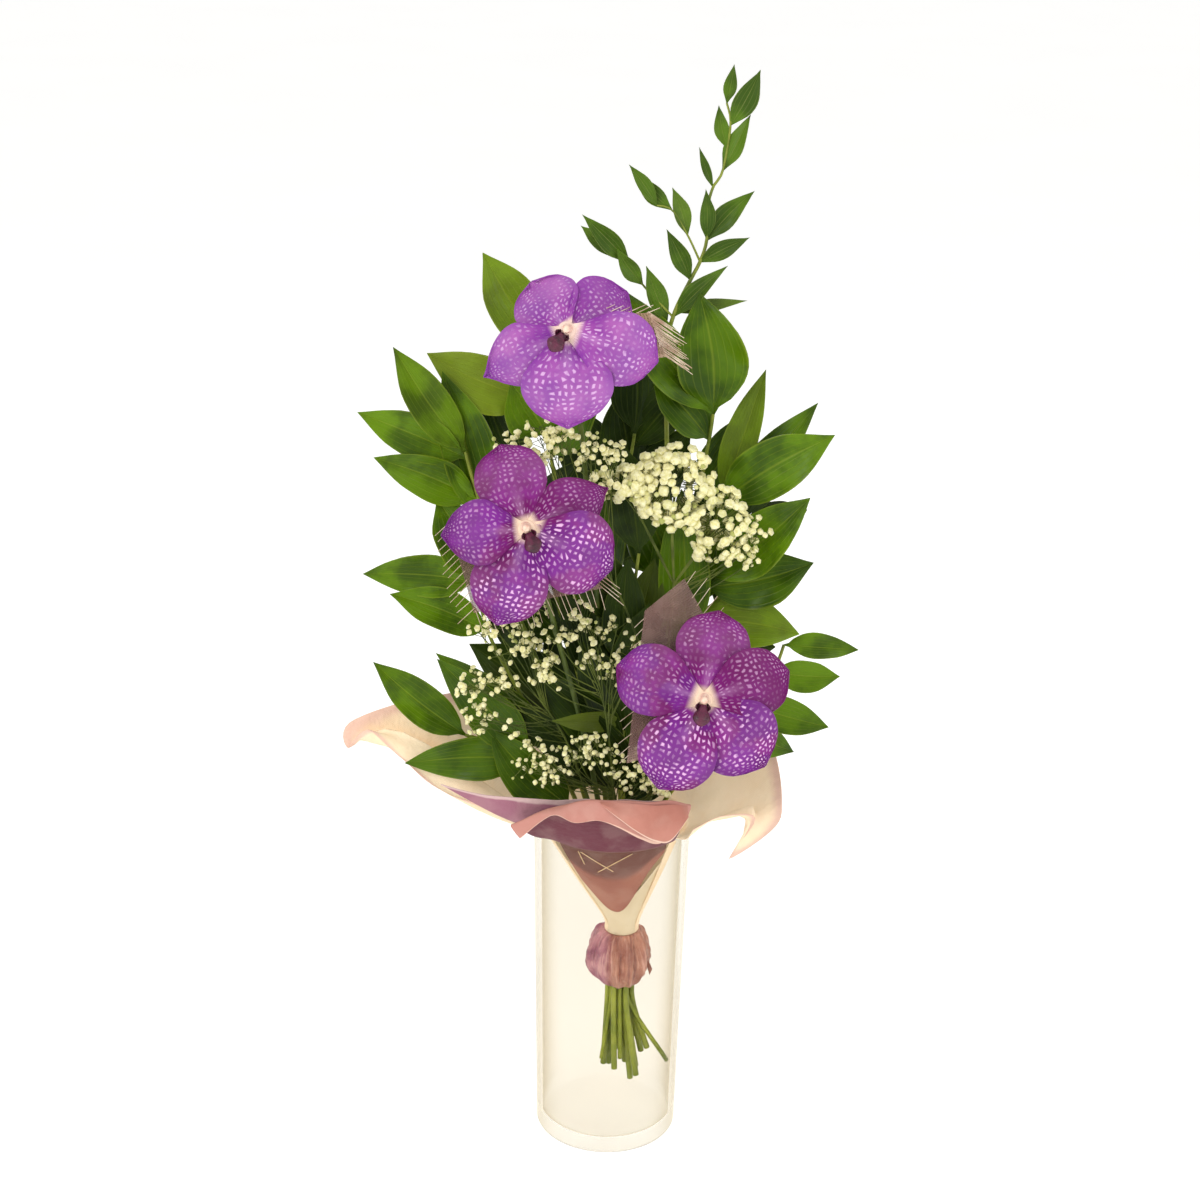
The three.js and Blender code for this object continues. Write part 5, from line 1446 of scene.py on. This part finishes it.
fibre_draw = random.Random(FIBRE_SEED)
for collar in COLLARS:
    name = BLOOMS[collar["bloom"]]["name"]
    corners = [Vector(corner) for corner in collar["corners"]]
    rows = []
    for row in range(COLLAR_STEPS + 1):
        down = row / COLLAR_STEPS
        left, right = corners[0].lerp(corners[3], down), corners[1].lerp(corners[2], down)
        line = []
        for column in range(COLLAR_STEPS + 1):
            across = 1 - column / COLLAR_STEPS
            spot = left.lerp(right, across)
            sway = -3 * math.sin(math.pi * down) * math.sin(math.pi * across)
            sway += 0.7 * math.sin(9 * across + 5 * down)
            line.append(collar_spot(collar, spot.x, spot.y, sway))
        rows.append(line)
    shape = new_shape()
    add_sheet(shape, rows, FIBRE_THICK)
    cloth = tan_cloth if name == "bloom_top" else smoky_cloth
    square = shape_object(name + "_fibre_square", shape, cloth)
    plan = new_plan()
    for start, end, right, up, count in collar["edges"]:
        for thread in range(count):
            share = (thread + 0.5 + fibre_draw.uniform(-0.2, 0.2)) / count
            root = corners[start].lerp(corners[end], share)
            reach = fibre_draw.uniform(0.62, 1.0)
            stray = Vector((fibre_draw.uniform(-1, 1), fibre_draw.uniform(-1, 1)))
            pull = Vector((right, up)) * reach + stray
            bow = fibre_draw.uniform(-1.2, 1.2)
            inner = collar_spot(collar, *(root - 0.12 * pull))
            middle = collar_spot(collar, *(root + 0.5 * pull), bow)
            tip = collar_spot(collar, *(root + pull), 0.6 * bow)
            add_rod(plan, [inner, middle, tip], collar["thick"], THREAD_TIP_RADIUS)
    comb = grow(name + "_frayed_threads", plan, None, fibre_thread, fibre_thread, 4, 6)
    for piece in (square, comb):
        settle(piece, name + "_fibre_collar")

# ---------- Organza wrap ----------
# Sheer organza gathered round the bundle under the tie, opened as a cone inside the vase
# and laid out over its rim: a cream sheet all round with rosy edges, and at the front a
# mauve panel whose edge is folded back down as a salmon cuff, over a plum layer.

TIE_TOP = 160
CLOTH = 0.8
ORGANZA_THICK = 0.5
SEAT_GAP = 0.35
LAYER_STEP = 1.3
GATHER_RADIUS = 2 * STEM_PITCH + STEM_RADIUS + SEAT_GAP + CLOTH / 2
GATHER_BOTTOM = TIE_TOP + SEAT_GAP
CONE_TOP = VASE_HEIGHT - 4
CONE_MOUTH = RIM_MIDDLE - RIM_ROUND - SEAT_GAP - CLOTH / 2
NECK_TOP = 170
NECK_EASE = 1.4
CREAM_FREE_ROW = 31
PANEL_FREE_ROW = 26
PANEL_MIDDLE = 262
PANEL_HALF = 50
PAST_RIM = 4.5
PAST_RIM_RISE = 0.9

# right front round the back to left front: degrees, then the sheet's edge x, y, z
CREAM_EDGE = [
    (-38, 57, -38, 260), (-31, 77, -38, 273), (-25, 100, -40, 270), (-21, 82, -45, 241),
    (-16, 115, -37, 263), (-8, 118, -30, 284), (14, 111, 14, 310), (34, 96, 46, 315),
    (54, 66, 74, 320), (74, 28, 90, 325), (94, -6, 95, 325), (114, -44, 86, 326),
    (134, -84, 62, 328), (150, -118, 34, 330), (163, -150, 6, 334), (174, -188, -4, 321),
    (182, -190, -8, 304), (189, -174, -12, 318), (196, -150, -15, 299), (204, -122, -22, 278),
    (214, -72, -22, 262),
]
# where the sheet arches up before its edge hangs down
CREAM_ARCH = {
    -31: (68, -31, 263), -25: (80, -32, 268), -21: (99, -33, 275), -16: (88, -30, 269),
    182: (-150, -8, 317), 189: (-132, -9, 302),
}
# left to right along the front: degrees, then the fold's x, y, z
MAUVE_FOLD = [
    (224, -69, -56, 270), (235, -54, -66, 283), (246, -37, -72, 291), (258, -22, -75, 297),
    (270, -6, -77, 300), (282, 10, -77, 299), (294, 27, -75, 297), (306, 41, -68, 295),
    (318, 52, -60, 290),
]
MAUVE_HEM = [
    (-64, -59, 260), (-49, -70, 279), (-39, -77, 287), (-26, -80, 283), (-10, -82, 286),
    (4, -82, 281), (19, -80, 272), (33, -74, 266), (49, -65, 276),
]
PLUM_EDGE = [
    (224, -121, -34, 289), (235, -86, -44, 286), (246, -46, -58, 289), (258, -24, -66, 294),
    (270, -6, -69, 296), (282, 8, -69, 296), (294, 23, -67, 294), (306, 36, -61, 291),
    (318, 47, -53, 287),
]


def cone_point(degrees, height, inset):
    """A point on the wrap's cone inside the vase."""
    angle = math.radians(degrees)
    share = min(max((height - NECK_TOP) / (CONE_TOP - NECK_TOP), 0), 1)
    neck = GATHER_RADIUS + NECK_EASE
    radius = neck + (CONE_MOUTH - neck) * share - inset
    middle = BUNDLE_X * (1 - share)
    return Vector((middle + radius * math.cos(angle), radius * math.sin(angle), height))


def over_rim(degrees, layer):
    """The sheet's way over the vase's rounded rim, each layer on the one below it."""
    angle = math.radians(degrees)
    bend = RIM_ROUND + SEAT_GAP + CLOTH / 2 + layer * LAYER_STEP
    rim_height = VASE_HEIGHT - RIM_ROUND
    profile = arc((RIM_MIDDLE, rim_height), (bend, bend), 180, 90, 2)
    past_rim = RIM_MIDDLE + PAST_RIM - layer * LAYER_STEP
    profile.append((past_rim, rim_height + bend + PAST_RIM_RISE))
    return [
        Vector((radius * math.cos(angle), radius * math.sin(angle), height))
        for radius, height in profile
    ]


def smooth_line(spots, steps):
    """Points on a smooth curve through spots, so many steps from each to the next."""
    return [along_points(spots, step / steps) for step in range((len(spots) - 1) * steps + 1)]


def smooth_grid(columns, across_steps, along_steps):
    """Rows of points on a smooth surface through columns of points."""
    lines = [smooth_line(column, along_steps) for column in columns]
    return [smooth_line(list(row), across_steps) for row in zip(*lines)]


def rippled(rows, from_row, size, turns, phase):
    """Lets the free part of a sheet ripple more and more towards its edge."""
    last, across = len(rows) - 1, len(rows[0]) - 1
    moved = [row[:] for row in rows[:from_row]]
    for index in range(from_row, last + 1):
        share = (index - from_row) / (last - from_row)
        line = []
        for column in range(across + 1):
            along = rows[index][column] - rows[index - 1][column]
            over = rows[index][min(column + 1, across)] - rows[index][max(column - 1, 0)]
            lift = over.cross(along).normalized()
            place = column / across
            wave = math.sin(turns * place + phase)
            wave += 0.5 * math.sin(2.3 * turns * place + 4 * share + phase)
            line.append(rows[index][column] + lift * (size * share * wave))
        moved.append(line)
    return moved


def folded_down(rows, hem, steps):
    """Turns a sheet's edge outward and lets it hang down to a hem."""
    lines = []
    for step in range(1, 3 * steps + 1):
        line = []
        for top, low in zip(rows[-1], hem):
            out = Vector((low.x, low.y, 0)).normalized()
            path = [top, top + 2.2 * out - Vector((0, 0, 0.6)), top.lerp(low, 0.5) + 1.8 * out, low]
            line.append(along_points(path, step / steps))
        lines.append(line)
    return rows + lines


def cloth_piece(name, rows, finish, node):
    """One layer of organza, put on the one body in place of its solid."""
    shape = new_shape()
    add_sheet(shape, rows, ORGANZA_THICK)
    piece = shape_object(name, shape, finish, 80)
    settle(piece, node)


def front_panel(edge_points, foot, layer, across_steps, along_steps):
    """A front sheet from a round foot inside the vase, over the rim and up to its edge."""
    columns = []
    for degrees, x, y, z in edge_points:
        edge = Vector((x, y, z))
        slope = abs(degrees - PANEL_MIDDLE) / PANEL_HALF
        low = foot + (CONE_TOP - 8 - foot) * min(1, slope**2.5)
        rim_points = over_rim(degrees, layer)
        inset = layer * LAYER_STEP
        cone = [cone_point(degrees, low, inset), cone_point(degrees, (low + CONE_TOP) / 2, inset)]
        half = rim_points[3].lerp(edge, 0.5) - Vector((0, 0, 3))
        columns.append(cone + rim_points + [half, edge])
    return smooth_grid(columns, across_steps, along_steps)


# the cream sheet's last value is a painted glow that lifts its shaded wings as if light shone through
# them
cream_organza = cloth_finish(
    "cream_organza", (paint(244, 220, 184), paint(250, 231, 200)),
    [(0.96, 0.995, paint(226, 188, 168))], (620, 300), 0.3, (0.72, 0.86), 0.55, 0.19,
)
gathered_organza = cloth_finish(
    "gathered_cream_organza", (paint(232, 214, 178), paint(242, 226, 194)),
    [(0.9, 1.0, paint(244, 226, 194))], (160, 90), 0.3, (0.86, 0.95), 0.55,
)
# the dark plum band from just past the rim up to the fold stands for the plum layer seen through the
# mauve: partly the plum's own colour, partly painted shade
mauve_organza = cloth_finish(
    "mauve_organza", (paint(154, 94, 80), paint(170, 108, 90)),
    [
        (0.1, 0.13, paint(112, 66, 60)), (0.49, 0.5, paint(98, 26, 50)),
        (0.685, 0.7, paint(196, 132, 120)), (0.985, 0.995, paint(238, 196, 176)),
    ],
    (300, 200), 0.34, (0.96, 1.0), 0.5,
)
plum_organza = cloth_finish(
    "plum_organza", (paint(98, 32, 54), paint(122, 56, 72)),
    [(0.7, 0.9, paint(160, 98, 120)), (0.965, 0.98, paint(214, 180, 180))],
    (300, 180), 0.34, (0.86, 0.95), 0.5,
)

cream_columns = []
for degrees, x, y, z in CREAM_EDGE:
    edge = Vector((x, y, z))
    rim_points = over_rim(degrees, 0)
    cone = [
        cone_point(degrees, height, inset)
        for height, inset in ((GATHER_BOTTOM, NECK_EASE), (172, 0.2), (208, 0))
    ]
    half = Vector(CREAM_ARCH.get(degrees, rim_points[3].lerp(edge, 0.5) - Vector((0, 0, 4))))
    cream_columns.append(cone + rim_points + [half, edge])
cream_rows = rippled(smooth_grid(cream_columns, 6, 5), CREAM_FREE_ROW, 1.6, 26, 0.5)
cloth_piece("cream_sheet", cream_rows, cream_organza, "wrap_cream")

# the cream fold that shows below the panels: from and to these degrees, lowest in the middle
FOLD_START, FOLD_END, FOLD_STEP = 208, 328, 8
FOLD_LOW, FOLD_RISE = 190, 44
front_columns = []
for degrees in range(FOLD_START, FOLD_END + 1, FOLD_STEP):
    place = (degrees - FOLD_START) / (FOLD_END - FOLD_START)
    top = FOLD_LOW + FOLD_RISE * (2 * place - 1) ** 2
    inset = 0.5 + 2.2 * math.sin(math.pi * place) ** 0.5
    column = []
    for share in (0, 0.12, 0.25, 0.5, 0.75, 1):
        height = GATHER_BOTTOM + (top - GATHER_BOTTOM) * share
        wide = min(1, max(0, (height - NECK_TOP) / 15))
        column.append(cone_point(degrees, height, NECK_EASE + (inset - NECK_EASE) * wide))
    front_columns.append(column)
front_rows = smooth_grid(front_columns, 4, 4)
cloth_piece(
    "cream_front_fold", front_rows, gathered_organza, "wrap_cream"
)

mauve_rows = rippled(front_panel(MAUVE_FOLD, 184, 0, 8, 5), PANEL_FREE_ROW, 0.9, 13, 1.0)
mauve_hem = smooth_line([Vector(point) for point in MAUVE_HEM], 8)
mauve_rows = folded_down(mauve_rows, mauve_hem, 5)
cloth_piece("mauve_cuff", mauve_rows, mauve_organza, "wrap_mauve")
plum_rows = rippled(front_panel(PLUM_EDGE, 205, 1, 8, 5), PANEL_FREE_ROW, 0.9, 13, 1.0)
cloth_piece("plum_layer", plum_rows, plum_organza, "wrap_plum")

# the corner of the mauve panel turned over once more: along its fold, then along its hem
FLAP_FOLD = [
    (-9, -80.4, 299.5), (4, -80.6, 299), (16, -80.2, 298), (29, -77.6, 296.2),
    (41, -71.8, 294.4), (51, -65, 290.6),
]
FLAP_HEM = [
    (-8, -82, 298), (3, -85, 290), (17, -84.5, 279), (29, -81, 271),
    (40, -76, 269), (52, -67.5, 283),
]
# the pale band just short of the flap's hem is a painted highlight along the edge of the fold
salmon_organza = cloth_finish(
    "salmon_organza", (paint(184, 114, 98), paint(202, 134, 118)),
    [(0.93, 0.96, paint(244, 210, 190))], (180, 60), 0.34, (0.9, 0.97), 0.5,
)
flap_columns = []
for fold, hem in zip(FLAP_FOLD, FLAP_HEM):
    middle = Vector(fold).lerp(Vector(hem), 0.5) - Vector((0, 1.2, 0))
    flap_columns.append([Vector(fold), middle, Vector(hem)])
flap_rows = smooth_grid(flap_columns, 8, 6)
cloth_piece("salmon_flap", flap_rows, salmon_organza, "wrap_mauve")

# straw-coloured threads crossed on the mauve panel: (degrees, height) from end to end
CROSSED_THREADS = [
    [(245, 245), (256, 237), (269, 228)], [(254, 226), (270, 236), (286, 246)],
    [(243, 245), (243, 239), (243, 232)],
]
THREAD_LIFT = 0.45
STRAW_RADIUS = 0.34
thread_finish, tree, shader = new_finish("straw_thread")
straw_tone = mix_paint(tree, mottle(tree, 0.006), paint(222, 184, 132), paint(248, 226, 182))
feed(tree, shader.inputs["Base Color"], straw_tone)
feed(tree, shader.inputs["Roughness"], ramp(tree, mottle(tree, 0.003), 0.0, 1.0, 0.4, 0.6))
bumped(tree, shader, mottle(tree, 0.0007), 0.0001, 0.4)
plan = new_plan()
for thread in CROSSED_THREADS:
    spots = [cone_point(degrees, height, -THREAD_LIFT) for degrees, height in thread]
    add_rod(plan, spots, STRAW_RADIUS, STRAW_RADIUS)
crossed = grow("crossed_straw_threads", plan, None, thread_finish, thread_finish, 5, 3)
settle(crossed, "wrap_mauve")

# ---------- Ribbon tie ----------
# A crinkled mauve ribbon wound round the stems and pulled tight at its top, so that it
# puffs out below. A short tail of it stands out at the right.

HOLE = 2 * STEM_PITCH + STEM_RADIUS + SEAT_GAP
# the wound ribbon's section, from its hole round its outside: radius, height, and its middle's x
TIE_PROFILE = [
    (HOLE, 160, 9), (15, 160, 8.6), (18, 157, 7.6), (21.4, 149, 7.2), (23, 139, 7), (22.4, 130, 7),
    (18.6, 122, 7.6), (14.8, 118, 8.6), (HOLE + 0.6, 118.4, 9), (HOLE, 122, 9), (HOLE, 150, 9),
]
TIE_TURNS = 144
TIE_STEPS = 6
TAIL_THICK = 0.6

tie_rows = []
for step in range(len(TIE_PROFILE) * TIE_STEPS):
    ring = TIE_PROFILE + TIE_PROFILE[:2]
    place = step / TIE_STEPS
    radius, height, middle = (along_points(values, place) for values in zip(*ring))
    loose = max(0.0, min(1.0, (radius - HOLE) / 8))
    line = []
    for turn in range(TIE_TURNS):
        angle = 2 * math.pi * turn / TIE_TURNS
        pleat = math.sin(10 * angle + 1.2 * math.sin(0.07 * height + 2 * angle))
        crush = math.sin(31 * angle + 0.3 * height) * math.sin(0.38 * height + 6 * angle)
        lobe = math.exp(-(((height - 138) / 12) ** 2)) * math.cos(2 * angle + 0.3)
        reach = radius + loose * (1.9 * pleat + 0.8 * crush + 1.6 * lobe - 1.5)
        sag = loose * 1.1 * math.sin(7 * angle + 0.2 * height)
        line.append((middle + reach * math.cos(angle), reach * math.sin(angle), height + sag))
    tie_rows.append(line)

ribbon_finish, tree, shader = new_finish("crinkled_ribbon", coat_weight=0.25)
place = add_node(tree, "ShaderNodeTexCoord")
across = add_node(tree, "ShaderNodeSeparateXYZ")
feed(tree, across.inputs[0], place.outputs["Object"])
brown = mix_paint(tree, mottle(tree, 0.014), paint(156, 98, 84), paint(188, 132, 110))
pink = mix_paint(tree, mottle(tree, 0.01), paint(148, 84, 108), paint(196, 138, 146))
ribbon_tone = mix_paint(tree, ramp(tree, across.outputs["X"], -0.004, 0.004), pink, brown)
chart = add_node(tree, "ShaderNodeUVMap", uv_map="UVMap")
stretch = add_node(tree, "ShaderNodeMapping")
feed(tree, stretch.inputs["Vector"], chart.outputs[0])
stretch.inputs["Scale"].default_value = (30.0, 4.0, 1.0)
creases = add_node(tree, "ShaderNodeTexNoise")
feed(tree, creases.inputs["Vector"], stretch.outputs[0])
feed(tree, creases.inputs["Scale"], 1.0)
crease = creases.outputs["Fac"]
# painted shade in the hollows of the creases and a painted highlight on their ridges
crease_painted_shade = ramp(tree, crease, 0.34, 0.48, 0.5, 0.0)
crease_painted_highlight = ramp(tree, crease, 0.54, 0.68, 0.0, 0.42)
ribbon_tone = mix_paint(tree, crease_painted_shade, ribbon_tone, paint(110, 56, 62))
ribbon_tone = mix_paint(tree, crease_painted_highlight, ribbon_tone, paint(236, 192, 178))
feed(tree, shader.inputs["Base Color"], ribbon_tone)
feed(tree, shader.inputs["Roughness"], ramp(tree, mottle(tree, 0.004), 0.0, 1.0, 0.28, 0.55))
bumped(tree, shader, calc(tree, "ADD", crease, mottle(tree, 0.004)), 0.0008, 0.6)

tie_shape = new_shape()
tie_shape["points"] = [point for line in tie_rows for point in line]
tie_shape["faces"] = ring_faces(len(tie_rows), TIE_TURNS, closed=True)
tie_shape["faces"] = [face[::-1] for face in tie_shape["faces"]]
tie_shape["uvs"] = [
    (abs(2 * turn / TIE_TURNS - 1), step / len(tie_rows))
    for step in range(len(tie_rows))
    for turn in range(TIE_TURNS)
]
tail = []
for share in (0, 0.12, 0.24, 0.36, 0.48, 0.6):
    middle = Vector((26 + 9 * share, -6 - 3 * share, 138 - 20 * share + 3 * math.sin(4 * share)))
    tail.append([middle + side * Vector((3 * share, 0, 5)) for side in (-0.5, 0, 0.5)])
add_sheet(tie_shape, tail, TAIL_THICK)
tie = shape_object("wound_ribbon", tie_shape, ribbon_finish, 70)
settle(tie, "ribbon_tie")

# ---------- Clearing up ---------------
# The single blades and florets that the sprays were grown from are put away.

for forms in (ruscus_forms, soft_forms, breath_forms):
    for form in list(forms.objects):
        bpy.data.objects.remove(form)
    bpy.data.collections.remove(forms)
